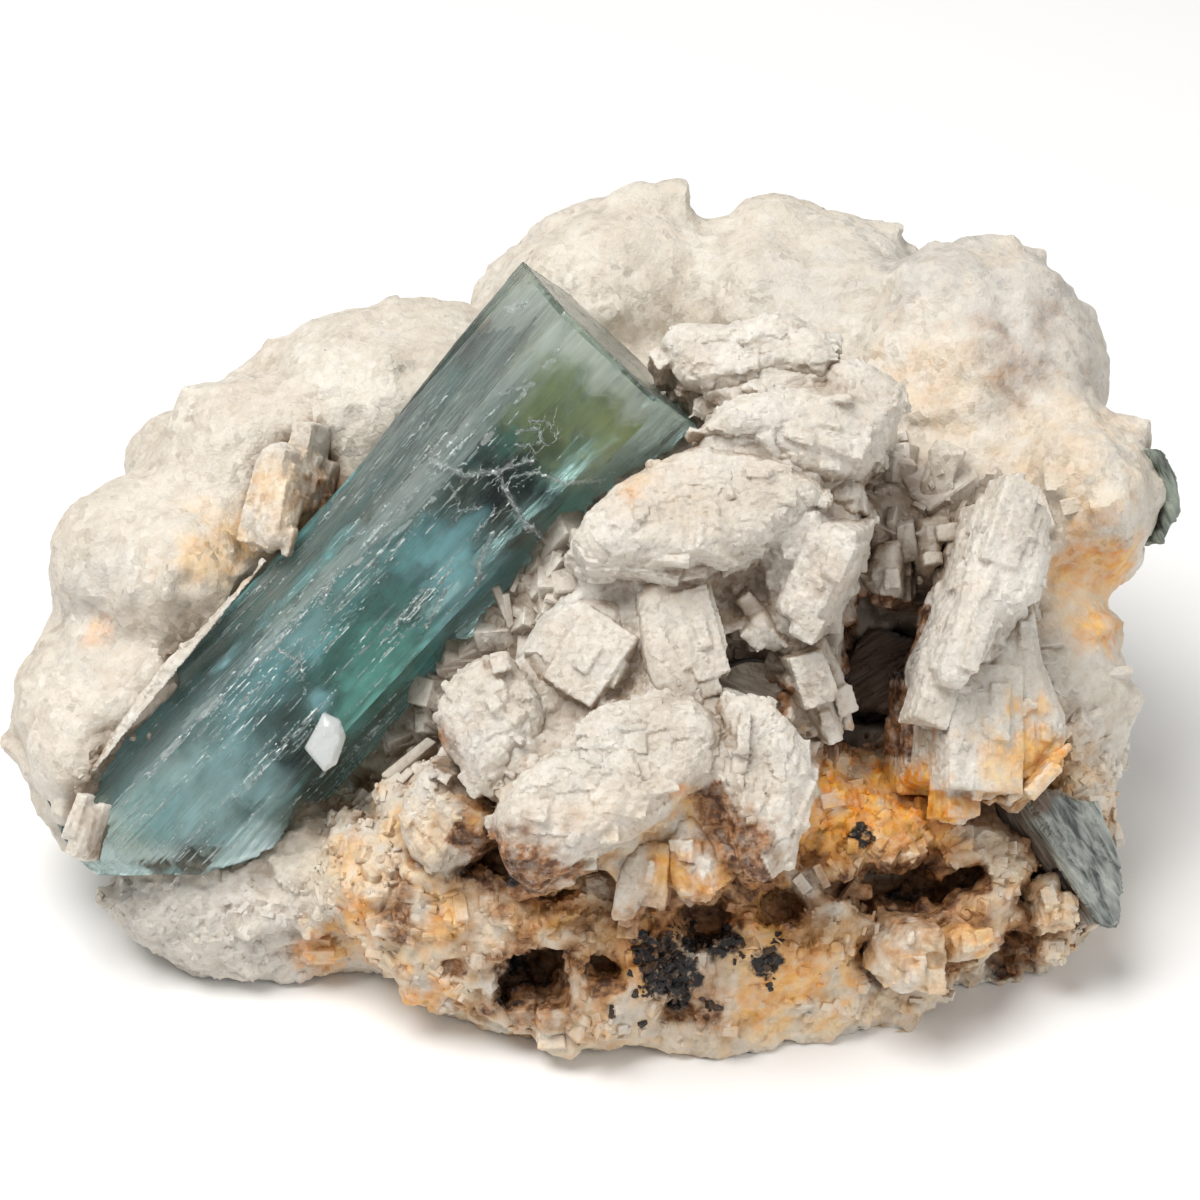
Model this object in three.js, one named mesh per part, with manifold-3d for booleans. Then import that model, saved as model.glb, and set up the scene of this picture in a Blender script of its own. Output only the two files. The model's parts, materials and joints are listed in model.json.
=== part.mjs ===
// A hexagonal aquamarine prism on a lump of white albite feldspar, with the larger feldspar crystals that
// stand round it, a chip of clear quartz on its face and three books of mica. Millimetres, +Z up.
// The origin is under the middle of the lump, on the level cut that it stands on.
import * as THREE from "three";
import { mergeVertices } from "three/addons/utils/BufferGeometryUtils.js";
import Module from "manifold-3d";

const wasm = await Module();
wasm.setup();

// ---- Driving dimensions ------------------------------------------------------------------------------
const GAP = 0.3; // clearance between a crystal and what it grows in
const FRONT_LEAN = THREE.MathUtils.degToRad(55); // the lump's front slopes back this far from level
const FRONT_HEIGHT = 36.3; // height of the front's own origin above the level cut
const FRONT_BACK = -17.4; // its place from front to back
const FRONT_SIDE = 0.7; // and from side to side
const FINE_LUMP = 13.2; // lumps with a half size over this are faceted more finely

const BERYL = { length: 64, lean: 46.6, nod: 7, turn: -6 };
const BERYL_WIDTHS = [[0, 21.2], [0.14, 20.2], [0.45, 19.1], [1, 19.3]]; // share of the length, width there
const BERYL_BREAK = -23.2; // the level in the front's frame at which its foot is broken off

// The front's frame: x to the right, y up the slope, z straight out of it.
const front = new THREE.Group();
front.rotation.x = FRONT_LEAN;
front.position.set(FRONT_SIDE, FRONT_BACK, FRONT_HEIGHT);
front.updateMatrix();

// ---- Finishes ----------------------------------------------------------------------------------------
const finish = (color, roughness, extra = {}) =>
  new THREE.MeshStandardMaterial({ color, roughness, metalness: 0, ...extra });
const FELDSPAR = finish(0xe9e3d8, 0.75);
const STAINED = finish(0xd8b98a, 0.85);
const BERYL_BLUE = finish(0x6fa3a6, 0.12, { transparent: true, opacity: 0.6 });
const CLEAR_QUARTZ = finish(0xdfe8e6, 0.1, { transparent: true, opacity: 0.5 });
const MICA = finish(0x8d9690, 0.4);

// ---- Solids ------------------------------------------------------------------------------------------
function solidOf(geometry) {
  const bare = geometry.index ? geometry.toNonIndexed() : geometry.clone();
  bare.deleteAttribute("normal");
  bare.deleteAttribute("uv");
  const merged = mergeVertices(bare, 1e-4);
  return new wasm.Manifold(
    new wasm.Mesh({
      numProp: 3,
      vertProperties: new Float32Array(merged.attributes.position.array),
      triVerts: new Uint32Array(merged.index.array),
    }),
  );
}

// The largest body, so that slivers left by a cut are dropped.
function largest(solid) {
  return solid.decompose().reduce((a, b) => (a.volume() > b.volume() ? a : b));
}

function meshOf(name, solid, material, centre) {
  const m = largest(solid).getMesh();
  const geometry = new THREE.BufferGeometry();
  geometry.setAttribute("position", new THREE.BufferAttribute(new Float32Array(m.vertProperties), 3));
  geometry.setIndex(new THREE.BufferAttribute(new Uint32Array(m.triVerts), 1));
  geometry.translate(-centre.x, -centre.y, -centre.z);
  geometry.computeVertexNormals();
  const mesh = new THREE.Mesh(geometry, material);
  mesh.name = name;
  mesh.position.copy(centre);
  return mesh;
}

// A slab crystal: an outline in its own plane, its thickness behind that plane and its leans, in degrees.
// grow widens it all round, for the pocket that it sits in.
function slab({ at, outline, thick, nod = 0, swing = 0, bevel = 0.8 }, grow = 0) {
  const shape = new THREE.Shape(outline.map(([x, y]) => new THREE.Vector2(x - at[0], y - at[1])));
  const geometry = new THREE.ExtrudeGeometry(shape, {
    depth: thick - 2 * bevel + 2 * grow,
    bevelThickness: bevel,
    bevelSize: bevel,
    bevelOffset: grow - bevel,
    bevelSegments: 1,
  });
  geometry.translate(0, 0, bevel - thick - grow);
  geometry.rotateX(THREE.MathUtils.degToRad(nod));
  geometry.rotateY(THREE.MathUtils.degToRad(swing));
  geometry.translate(...at);
  return solidOf(geometry);
}

// A rounded lump: a faceted ball drawn out to its three half sizes, with its own unevenness.
function lump([x, y, z], [rx, ry, rz], seed) {
  const ball = new THREE.IcosahedronGeometry(1, Math.max(rx, ry, rz) > FINE_LUMP ? 3 : 2);
  const p = ball.attributes.position;
  const v = new THREE.Vector3();
  for (let i = 0; i < p.count; i++) {
    v.fromBufferAttribute(p, i);
    const wave =
      Math.sin(3.1 * v.x + seed) * Math.sin(2.7 * v.y + 2 * seed) + Math.sin(4.3 * v.z + 3 * seed + 2 * v.x);
    v.multiplyScalar(1 + 0.06 * wave);
    p.setXYZ(i, v.x * rx, v.y * ry, v.z * rz);
  }
  ball.translate(x, y, z);
  return solidOf(ball);
}

// ---- Aquamarine --------------------------------------------------------------------------------------
const berylTip = new THREE.Vector3(1.1, 22.3, -8.5);

// A six-sided prism, widest at its flat tip, broken off level at its foot.
function beryl(grow = 0) {
  const { length, lean, nod, turn } = BERYL;
  const rings = BERYL_WIDTHS.map(([share, width]) => {
    const along = share === 0 ? grow : -share * length;
    const reach = 0.51 * width + 1.16 * grow;
    return [0, 1, 2, 3, 4, 5].map((corner) => {
      const angle = THREE.MathUtils.degToRad(60 * corner + turn);
      return new THREE.Vector3(reach * Math.cos(angle), along, reach * Math.sin(angle));
    });
  });
  const positions = [];
  const face = (...corners) => corners.forEach((q) => positions.push(q.x, q.y, q.z));
  for (let r = 0; r + 1 < rings.length; r++) {
    for (let i = 0; i < 6; i++) {
      const j = (i + 1) % 6;
      face(rings[r][i], rings[r][j], rings[r + 1][i]);
      face(rings[r][j], rings[r + 1][j], rings[r + 1][i]);
    }
  }
  const tip = rings[0];
  const foot = rings[rings.length - 1];
  for (let i = 1; i < 5; i++) {
    face(tip[0], tip[i + 1], tip[i]);
    face(foot[0], foot[i], foot[i + 1]);
  }
  const geometry = new THREE.BufferGeometry();
  geometry.setAttribute("position", new THREE.BufferAttribute(new Float32Array(positions), 3));
  geometry.rotateX(THREE.MathUtils.degToRad(nod));
  geometry.rotateZ(THREE.MathUtils.degToRad(lean - 90));
  geometry.translate(berylTip.x, berylTip.y, berylTip.z);
  const broken = new THREE.BoxGeometry(60, 40, 60);
  broken.rotateX(THREE.MathUtils.degToRad(12));
  broken.translate(berylTip.x - 44, BERYL_BREAK - 20.4 - grow, -12);
  return solidOf(geometry).subtract(solidOf(broken));
}

// ---- Feldspar crystals -------------------------------------------------------------------------------
// Nearest the eye first: each one is cut back from those before it.
const FELDSPAR_CRYSTALS = [
  {
    name: "keel_slab", at: [-0.5, -16, 9], thick: 13, nod: -12, swing: -4, bevel: 1.6,
    outline: [[-9, -18.5], [-8.5, -16.5], [-5.5, -13], [-2.5, -11], [-0.5, -8], [7.5, -7.5], [10, -10],
      [9.5, -13.5], [5, -18], [-0.5, -20.5], [-5.5, -23.5], [-7.5, -22]],
  },
  {
    name: "right_lobe", at: [13.5, -14.5, 8], thick: 11, nod: -6, swing: 10, bevel: 1.4,
    outline: [[10, -10], [10.5, -8.5], [12.5, -8], [14.5, -8.5], [16.5, -11], [18, -14], [17.5, -17],
      [16.5, -21], [13.5, -23], [12, -21], [11.5, -18], [9.5, -15]],
  },
  {
    name: "split_slab", at: [9, 8, 6], thick: 11, nod: -22, swing: 4, bevel: 1.2,
    outline: [[-1.5, 7.5], [2, 10.5], [8.5, 14], [13, 13.5], [16.5, 11.5], [18.5, 10.5], [18.5, 8.5],
      [15.5, 6], [12.5, 4.5], [7, 3.5], [-1, 3.5], [-2, 5.5]],
  },
  {
    name: "knob_crystal", at: [-10, -10, 6], thick: 12, nod: -8, swing: -14, bevel: 2,
    outline: [[-14.5, -9.5], [-13.5, -6], [-11, -4.5], [-8.5, -5], [-6, -8], [-5, -11], [-6.5, -13.5],
      [-9, -16.5], [-11.5, -14.5], [-13.5, -12]],
  },
  {
    name: "square_tooth", at: [7.5, -21.5, 6], thick: 9, nod: 12, swing: -20,
    outline: [[5, -20], [6, -18], [7.5, -18], [9.5, -21], [11, -23.5], [8.5, -25], [6, -25.5], [5, -23.5]],
  },
  {
    name: "tooth_blade", at: [2.5, -23, 5], thick: 7, nod: 4, swing: -16, bevel: 0.4,
    outline: [[1.5, -22.5], [3, -19.5], [4, -19], [4.5, -21], [4, -24.5], [2, -27], [0.5, -27], [1, -24.5]],
  },
  {
    name: "stacked_blades", at: [7, -3, 5], thick: 12, nod: -10, swing: 14,
    outline: [[3.5, 0.5], [4.5, 2.5], [7.5, 3], [9.5, 1], [10, -1], [10, -5], [9.5, -8.5], [7.5, -9.5],
      [4.5, -7.5], [3.5, -3.5]],
  },
  {
    name: "long_prism", at: [18, 2, 5], thick: 9, nod: 8, swing: -18,
    outline: [[17, 6], [18.5, 6.5], [21.5, 5.5], [20.5, 2], [18.5, -2], [17, -3.5], [14, -1], [15, 1]],
  },
  {
    name: "tall_blade", at: [33.5, 0.5, 3], thick: 11, nod: -4, swing: 16, bevel: 1.1,
    outline: [[34, 8.5], [36.5, 9.5], [39, 7.5], [39, 4], [38, 0], [34.5, -1.5], [32.5, -5], [30.5, -7.5],
      [28.5, -7], [28.5, -5], [30, -2], [33, 6]],
  },
  {
    name: "side_block", at: [-2.5, -3.5, 3], thick: 12, nod: -10, swing: -18, bevel: 1.6,
    outline: [[-8, -4.5], [-6, -1], [-3.5, 1], [-0.5, 1.5], [2.5, 0], [3, -3.5], [1, -7.5], [-3, -9],
      [-6.5, -8]],
  },
  {
    name: "shoulder_slab", at: [19, 16, 3], thick: 14, nod: -20, swing: 8, bevel: 1.4,
    outline: [[8, 14.5], [11, 17.5], [16, 19], [19.5, 18.5], [20, 21], [23.5, 21], [26.5, 18.5], [26, 16.5],
      [24.5, 14], [22.5, 11.5], [19.5, 11], [17, 11.5], [13, 13.5]],
  },
  {
    name: "left_block", at: [-14, -19.5, 2], thick: 11, nod: 6, swing: -24, bevel: 1.4,
    outline: [[-17, -16], [-15, -14], [-9.5, -17.5], [-9.5, -20.5], [-12, -22], [-14.5, -24], [-17, -22],
      [-18, -19.5]],
  },
  {
    name: "stub_prism", at: [14.5, -3, 2], thick: 9, nod: 20, swing: 6,
    outline: [[12, -3.5], [13, -1.5], [14, -1], [16.5, -3.5], [16, -4.5], [15, -5]],
  },
  {
    name: "thin_upright", at: [21, 7.5, 1], thick: 8, swing: -12, bevel: 0.5,
    outline: [[20, 11], [21.5, 12], [22, 3.5], [20.5, 3], [19.5, 7]],
  },
  {
    name: "wedge_prism", at: [12.5, 3, 1], thick: 10, nod: 14, swing: 20,
    outline: [[7.5, 4], [13.5, 7], [17, 4.5], [14.5, 0], [13, -1], [10, 2]],
  },
  {
    name: "crest_block", at: [13, 21.5, 0], thick: 14, nod: -26, swing: -6, bevel: 1.4,
    outline: [[5, 23], [6.5, 24.5], [11, 24.5], [16, 25.5], [19, 23.5], [20, 21.5], [19.5, 18.5], [16, 19.5],
      [11, 18], [7, 19.5]],
  },
  {
    name: "lower_stick", at: [18.5, -8.5, 0], thick: 9, nod: 6, swing: 18, bevel: 0.6,
    outline: [[15.5, -4], [17.5, -4], [19.5, -7.5], [21.5, -11.5], [20, -12.5], [18.5, -10.5], [16.5, -7.5]],
  },
  {
    name: "step_stick", at: [20, -7, -1], thick: 9, nod: 6, swing: 18, bevel: 0.6,
    outline: [[17.5, -3.5], [19, -2.5], [21, -6], [22.5, -11.5], [21, -11], [19.5, -7.5]],
  },
  {
    name: "column_slab", at: [35.5, -8.5, -1], thick: 13, nod: -6, swing: 22, bevel: 1.4,
    outline: [[29, -7.5], [32, -5], [35, -1.5], [38.5, 0], [39, -5], [41, -9.5], [41, -12], [37.5, -15],
      [34.5, -16.5], [28.5, -15]],
  },
  {
    name: "thin_wedge", at: [37, -15, -1], thick: 8, swing: 14, bevel: 0.2,
    outline: [[34, -16], [35.5, -15], [40.5, -12], [41, -12.5], [37.5, -16], [35, -17.5]],
  },
  {
    name: "base_cube_left", at: [26.5, -30.5, -1], thick: 11, nod: 6, swing: 14,
    outline: [[24, -29.5], [26, -27.5], [29.5, -28], [29.5, -33], [26, -34], [24, -32]],
  },
  {
    name: "base_cube_right", at: [32, -29.5, -3], thick: 9, nod: -4, swing: 20,
    outline: [[30, -28.5], [32, -27.5], [34, -29], [34.5, -30.5], [32, -31], [30, -31]],
  },
  {
    name: "left_rail", at: [-37.5, -7.5, -3], thick: 12, nod: -8, swing: -20, bevel: 0.6,
    outline: [[-46, -16.5], [-42, -10.5], [-37.5, -4.5], [-33, 0], [-28.5, 3.5], [-27, 3.5], [-35, -5.5],
      [-38.5, -9.5], [-43, -16.5], [-44.5, -18]],
  },
  {
    name: "foot_chip", at: [-44.5, -19.5, -3.5], thick: 7, swing: -16, bevel: 0.5,
    outline: [[-46.5, -20.5], [-45.5, -17.5], [-44, -17], [-43.5, -18.5], [-44, -20.5], [-45, -22]],
  },
  {
    name: "back_block_left", at: [24, 2.5, -5], thick: 10, nod: -8, swing: -10,
    outline: [[22, 3], [23.5, 5], [26, 5.5], [26, 0.5], [24.5, 0], [22.5, 1.5]],
  },
  {
    name: "back_block_right", at: [30.5, 5, -6], thick: 10, nod: -14, swing: 6,
    outline: [[27.5, 7.5], [32, 8], [33.5, 6], [31, 3.5], [30.5, 2], [28, 2.5]],
  },
  {
    name: "ledge_block", at: [39.5, -26, -7], thick: 10, nod: -8, swing: 16,
    outline: [[37.5, -24.5], [40.5, -23.5], [40.5, -26], [41.5, -28.5], [38.5, -28.5]],
  },
  {
    name: "white_spike", at: [-29.5, 9, -9], thick: 9, nod: -6, swing: -26,
    outline: [[-31.5, 9.5], [-30.5, 13.5], [-28.5, 14], [-27, 11.5], [-27.5, 5], [-29.5, 4], [-31, 6]],
  },
];

// ---- Mica --------------------------------------------------------------------------------------------
const MICA_BOOKS = [
  {
    name: "mica_book", at: [42.5, -22, -7], thick: 9, swing: 30, bevel: 0.6,
    outline: [[37.5, -16.5], [40, -16.5], [44, -17.5], [46, -21.5], [47, -24.5], [46, -28.5], [44, -28.5],
      [42, -25.5], [39.5, -21.5], [38, -19]],
  },
  {
    name: "rim_mica", at: [50.5, 9.5, -14], thick: 7, swing: 24, bevel: 0.4,
    outline: [[48, 13.5], [50.5, 13.5], [52, 11], [52, 8], [50.5, 5], [49.5, 5.5], [50.5, 8.5], [50, 11.5]],
  },
  {
    name: "cave_mica", at: [26, -6.5, -13], thick: 5, nod: -10, swing: 12, bevel: 0.4,
    outline: [[21.5, -6], [24, -2], [29.5, -3.5], [30, -6], [29, -9.5], [25, -10], [22, -9]],
  },
];

// ---- Matrix ------------------------------------------------------------------------------------------
const LUMPS = [
  { at: [8, -2, -24], half: [39, 26, 19] },
  { at: [6, -5, -38], half: [31, 19, 14] },
  { at: [-22, -7, -31], half: [19, 14, 13] },
  { at: [4, -25, -12.5], half: [29, 15.5, 13] },
  { at: [31, -25, -17], half: [14, 11.5, 11] },
  { at: [0, 26, -34], half: [13, 12.5, 12] },
  { at: [19, 23, -33], half: [15, 14.5, 13] },
  { at: [33.5, 18, -26], half: [13, 15.5, 13] },
  { at: [42.5, 9, -17], half: [7.8, 9, 10] },
  { at: [41, -9, -18], half: [5.5, 14, 9] },
  { at: [-18, 14, -26], half: [18, 13, 13] },
  { at: [-31, 9, -25], half: [13, 13, 12] },
  { at: [-39, 0, -20], half: [11.5, 12, 12] },
  { at: [-44, -11, -16], half: [9, 10, 9] },
  { at: [-27.5, -26.6, -18], half: [16.2, 8, 10] },
];
const HOLLOWS = [
  { at: [26, -6, -8], half: [4.5, 8, 9] },
  { at: [28.5, -24.5, -4], half: [4.5, 3.2, 7] },
  { at: [-5.5, -32, -2], half: [3, 3, 5] },
  { at: [10.5, -19, -2], half: [2, 5, 6] },
];

function matrixOf(pockets) {
  const join = (list, seed) => list.map((l, i) => lump(l.at, l.half, seed + i)).reduce((a, b) => a.add(b));
  const below = new THREE.BoxGeometry(300, 300, 100).translate(0, 0, -50);
  below.applyMatrix4(front.matrix.clone().invert());
  const cut = [solidOf(below), ...pockets];
  return cut.reduce((a, b) => a.subtract(b), join(LUMPS, 1).subtract(join(HOLLOWS, 40)));
}

// ---- Quartz ------------------------------------------------------------------------------------------
const QUARTZ_CHIP = {
  name: "quartz_chip", at: [-24.2, -12.3, -4.8], thick: 1.8, nod: 9, bevel: 0.6,
  outline: [[-24, -10], [-22.3, -10.6], [-21.7, -12], [-22.6, -14.2], [-23.9, -14.9], [-25.9, -12.9],
    [-25, -11.6]],
};

// ---- Assembly ----------------------------------------------------------------------------------------
const chipPocket = slab(QUARTZ_CHIP, GAP);
front.add(meshOf("quartz_chip", slab(QUARTZ_CHIP), CLEAR_QUARTZ, new THREE.Vector3(...QUARTZ_CHIP.at)));
front.add(meshOf("aquamarine", beryl().subtract(chipPocket), BERYL_BLUE, berylTip));

// Each later crystal is cut back from those before it, and the matrix from them all.
const pockets = [beryl(GAP), chipPocket];
for (const [list, material] of [[FELDSPAR_CRYSTALS, FELDSPAR], [MICA_BOOKS, MICA]]) {
  for (const crystal of list) {
    const cut = pockets.reduce((a, b) => a.subtract(b), slab(crystal));
    front.add(meshOf(crystal.name, cut, material, new THREE.Vector3(...crystal.at)));
    pockets.push(slab(crystal, GAP));
  }
}
front.add(meshOf("matrix", matrixOf(pockets), STAINED, new THREE.Vector3()));

export default front;
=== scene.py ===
import json
import math
import random

import bpy
import numpy as np
from mathutils import Matrix, Vector, noise
from mathutils.kdtree import KDTree


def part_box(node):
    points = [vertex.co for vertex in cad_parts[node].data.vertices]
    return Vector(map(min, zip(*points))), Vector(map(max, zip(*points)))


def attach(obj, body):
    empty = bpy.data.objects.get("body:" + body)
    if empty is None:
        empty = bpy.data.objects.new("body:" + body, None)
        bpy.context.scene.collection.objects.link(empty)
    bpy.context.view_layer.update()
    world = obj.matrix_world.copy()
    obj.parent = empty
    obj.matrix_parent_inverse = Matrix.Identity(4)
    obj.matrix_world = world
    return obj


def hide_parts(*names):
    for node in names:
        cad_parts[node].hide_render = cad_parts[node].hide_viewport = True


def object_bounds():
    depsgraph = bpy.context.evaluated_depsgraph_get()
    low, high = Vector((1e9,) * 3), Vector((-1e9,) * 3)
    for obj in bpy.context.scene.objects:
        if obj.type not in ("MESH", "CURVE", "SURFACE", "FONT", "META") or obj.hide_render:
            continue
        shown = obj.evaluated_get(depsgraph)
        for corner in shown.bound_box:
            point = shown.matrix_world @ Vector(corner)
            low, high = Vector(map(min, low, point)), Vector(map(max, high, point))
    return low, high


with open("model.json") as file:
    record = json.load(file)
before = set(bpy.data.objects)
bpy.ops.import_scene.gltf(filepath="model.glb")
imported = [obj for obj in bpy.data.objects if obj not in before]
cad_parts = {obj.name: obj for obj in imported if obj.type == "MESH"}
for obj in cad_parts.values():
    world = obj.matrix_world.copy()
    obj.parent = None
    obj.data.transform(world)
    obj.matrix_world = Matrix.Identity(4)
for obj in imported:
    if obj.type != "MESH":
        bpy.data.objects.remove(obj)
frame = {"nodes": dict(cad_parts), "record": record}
cad_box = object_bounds()

MM = 0.001

# The display side's own frame: across to the right, up the slope, out of it. Millimetres become metres.
LEAN = math.radians(55)
ACROSS = Vector((1, 0, 0))
UP = Vector((0, math.cos(LEAN), math.sin(LEAN)))
OUT = Vector((0, -math.sin(LEAN), math.cos(LEAN)))
ORIGIN = Vector((0.0007, -0.0174, 0.0363))
FRONT = Matrix((ACROSS, UP, OUT)).transposed()
EYE_DISTANCE, HALF_VIEW = 300, 51    # millimetres: where the viewer stands, and half the width of the view


def place(u, v, w):
    return ORIGIN + FRONT @ Vector((u, v, w)) * MM


def turned(degrees, axis):
    return Matrix.Rotation(math.radians(degrees), 3, axis)


def front_of(points):
    """Rows of points, in metres, as across, up and out in millimetres."""
    return (points - np.array(ORIGIN)) @ np.array(FRONT) / MM


# ---- Working with operators ----
def alone(piece):
    bpy.ops.object.select_all(action="DESELECT")
    piece.select_set(True)
    bpy.context.view_layer.objects.active = piece
    return piece


def edit(piece, *steps):
    alone(piece)
    bpy.ops.object.mode_set(mode="EDIT")
    bpy.ops.mesh.select_all(action="SELECT")
    for step in steps:
        step()
    bpy.ops.object.mode_set(mode="OBJECT")
    return piece


def resize(*size):
    return lambda: bpy.ops.transform.resize(value=size)


def shift(*way):
    return lambda: bpy.ops.transform.translate(value=Vector(way) * MM)


def jitter(offset, seed):
    return lambda: bpy.ops.transform.vertex_random(offset=offset * MM, uniform=0.0, normal=0.0, seed=seed)


def cube(size):
    bpy.ops.mesh.primitive_cube_add(size=size * MM)
    return bpy.context.active_object


def duplicate(piece, name):
    alone(piece)
    bpy.ops.object.duplicate()
    twin = bpy.context.active_object
    twin.name = twin.data.name = name
    return twin


def cut(piece, at, facing, **keep):
    """Cuts a piece along a plane; the rest says which side goes and whether the cut is closed."""
    return edit(piece, lambda: bpy.ops.mesh.bisect(plane_co=at, plane_no=facing, **keep))


def copy_of(node, name):
    """A merged copy of a CAD node, free of the marks that the frame keeps on its own objects."""
    piece = duplicate(frame["nodes"][node], name)
    piece.parent = None
    for mark in [k for k in piece.keys() if k.startswith("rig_")]:
        del piece[mark]
    piece.data.materials.clear()
    return edit(piece, lambda: bpy.ops.mesh.remove_doubles(threshold=1e-5))


def applied(piece, kind, **settings):
    alone(piece)
    modifier = piece.modifiers.new(kind.title(), kind)
    for key, value in settings.items():
        setattr(modifier, key, value)
    bpy.ops.object.modifier_apply(modifier=modifier.name)
    return piece


def remeshed(piece, size):
    return applied(piece, "REMESH", mode="VOXEL", voxel_size=size * MM)


def cloud(name, size, depth=2):
    texture = bpy.data.textures.new(name, "CLOUDS")
    texture.noise_scale = size * MM
    texture.noise_depth = depth
    return texture


def cells(name, size, mode="INTENSITY", metric="DISTANCE"):
    texture = bpy.data.textures.new(name, "VORONOI")
    texture.noise_scale = size * MM
    texture.color_mode = mode
    texture.distance_metric = metric
    return texture


def displaced(piece, texture, strength, middle=0.5):
    return applied(piece, "DISPLACE", texture=texture, strength=strength * MM, mid_level=middle,
                   texture_coords="LOCAL")


def stepped(piece, axes, *layers):
    """Displaces a piece by textures laid along its own axes: each a texture, its stretch, its strength."""
    bpy.ops.object.empty_add(location=(0, 0, 0))
    guide = bpy.context.active_object
    for texture, stretch, strength in layers:
        guide.matrix_world = axes.to_4x4() @ Matrix.Diagonal((*stretch, 1))
        bpy.context.view_layer.update()
        applied(piece, "DISPLACE", texture=texture, strength=strength * MM, mid_level=0.5,
                texture_coords="OBJECT", texture_coords_object=guide)
    bpy.data.objects.remove(guide)
    return piece


def joined(pieces, name):
    alone(pieces[0])
    for other in pieces[1:]:
        other.select_set(True)
    bpy.ops.object.join()
    piece = bpy.context.active_object
    piece.name = piece.data.name = name
    return piece


def points_of(piece):
    flat = np.empty(len(piece.data.vertices) * 3)
    piece.data.vertices.foreach_get("co", flat)
    return flat.reshape(-1, 3)


def normals_of(piece):
    flat = np.empty(len(piece.data.vertices) * 3)
    piece.data.vertex_normals.foreach_get("vector", flat)
    return flat.reshape(-1, 3)


def relaxed(values, edges, times):
    """Values on points, averaged with their neighbours along the edges, so many times."""
    count = np.bincount(edges.ravel(), minlength=len(values)).clip(1)
    a, b = edges[:, 0], edges[:, 1]
    for _ in range(times):
        total = [np.bincount(a, values[b, k], len(values)) + np.bincount(b, values[a, k], len(values))
                 for k in range(values.shape[1])]
        total = np.stack(total, 1)
        values = 0.5 * values + 0.5 * total / count[:, None]
    return values


# ---- Stains, and painted shade ----
# Each: across, up, out, reach in millimetres, strength; out is where it lies on the surface.
RUST = [
    (3.4, 9.4, 3, 1.3, 0.4), (18.0, -21.0, -2, 1.6, 0.9), (-12.6, -27.0, -1, 1.6, 0.6),
    (12.8, -34.6, -3, 2.0, 0.6), (22.5, -17.3, -3, 3.8, 1.0), (26.5, -17.4, -5, 3.6, 1.0),
    (29.5, -18.5, -7, 2.6, 0.9), (19, -19.5, -2, 2.6, 0.7), (5, -28.6, -1, 2.2, 0.9),
    (7.5, -17, 5, 1.6, 0.8), (-4.7, -26.8, 0, 2.6, 0.6), (-20.7, -27, -5, 1.6, 0.7),
    (-15, -34.5, -6, 2.2, 0.6), (-23.9, -31.5, -9, 2.4, 0.6), (10, -24, 3, 2.6, 0.8),
    (2, -31.5, -1, 2.6, 0.9), (-21.5, -20.5, -5, 2.0, 0.3), (16.8, -32, -3, 3.4, 0.5),
    (33, -28, -6, 2.6, 0.5), (45, 4, -12, 3, 0.7), (14, -26, 0, 2.4, 0.8), (37, -12.5, -3, 2.4, 0.6),
    (-44.5, -2.6, -11, 1.2, 0.35), (44, -3, -12, 2, 0.6), (6.5, -22.5, 6, 1.8, 0.7),
    (-10.5, -18, 2, 1.6, 0.6),
]
TAN = [
    (4.0, 10.5, 3, 3.0, 0.18), (8.0, 8.4, 4, 2.4, 0.12), (16, -31.5, -3, 7, 1.0), (25, -23, -6, 6, 0.9),
    (30, -29, -4, 6, 0.7), (1, -31, -1, 5, 0.7), (36, -14, -1, 3.6, 0.9), (40, -15, -9, 3, 0.9),
    (-21, -23.5, -6, 3, 0.6), (-14.5, -19.5, 2, 3.4, 0.5), (-33.8, 4, -10, 3.4, 0.7), (38, -29, -8, 5, 0.7),
    (-6, -27.5, 0, 5, 0.7), (9, -35, -4, 6, 0.6), (30, 20, -16, 4, 0.4), (42, 12, -18, 5, 0.35),
    (44, 1, -14, 4, 0.7), (-28, 9, -14, 3, 0.6), (-12, -30, -3, 4, 0.6), (6, -24, 5, 2.6, 0.6),
    (20, -20, -2, 4, 0.8), (35, -21, -6, 4, 0.5),
]
BROWN = [
    (-7, -22.5, 5, 4.4, 1.0), (11.6, -20, 5, 2.8, 1.0), (13.5, -24, 1, 2.6, 1.0), (5, -27.5, 0, 3.4, 0.9),
    (-5.6, -32, -5, 4, 1.0), (26, -25.2, -8, 4.4, 0.9), (30, -25, -9, 3, 0.8), (-16.9, -26.5, -3, 1.8, 0.9),
    (36.8, -31, -9, 2.6, 0.8), (8.6, -34.5, -3, 3, 0.7), (-24.2, 8.6, -14, 2.2, 1.0),
    # The two spots high at the right, from 21 mm up, paint the shade of a pocket in the back mass.
    (35.5, 21.5, -22, 3.4, 0.6), (39.5, 24, -24, 3.0, 0.5), (0.5, -31.5, -1, 2.4, 0.8),
    (9.5, -27, 0, 2.8, 0.9), (-14, -12.5, 2, 1.8, 0.9), (23, -11, -10, 2, 0.8), (9.5, -17, 5, 1.6, 0.7),
    (18, -27, -2, 2.6, 0.6), (-10.8, -30, -3, 1.8, 0.6),
]
BLACK = [
    (6.5, -31.4, -1, 3.0, 0.85), (9.8, -29.6, -1, 1.8, 0.8), (4, -30, -1, 1.6, 0.8),
    (22.8, -20.2, -4, 1.0, 0.75), (14.1, -31.3, -2.5, 1.4, 0.9), (36.8, -31.2, -8, 1.4, 0.8),
    (-7.4, -32.4, -6, 2.2, 0.8), (24, -6.5, -13, 3.4, 0.7), (12.0, -9.6, -4, 1.2, 0.7),
    (26.5, -25.5, -10, 2.0, 0.7), (-7, -22.5, 3, 2.2, 0.7),
]
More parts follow.
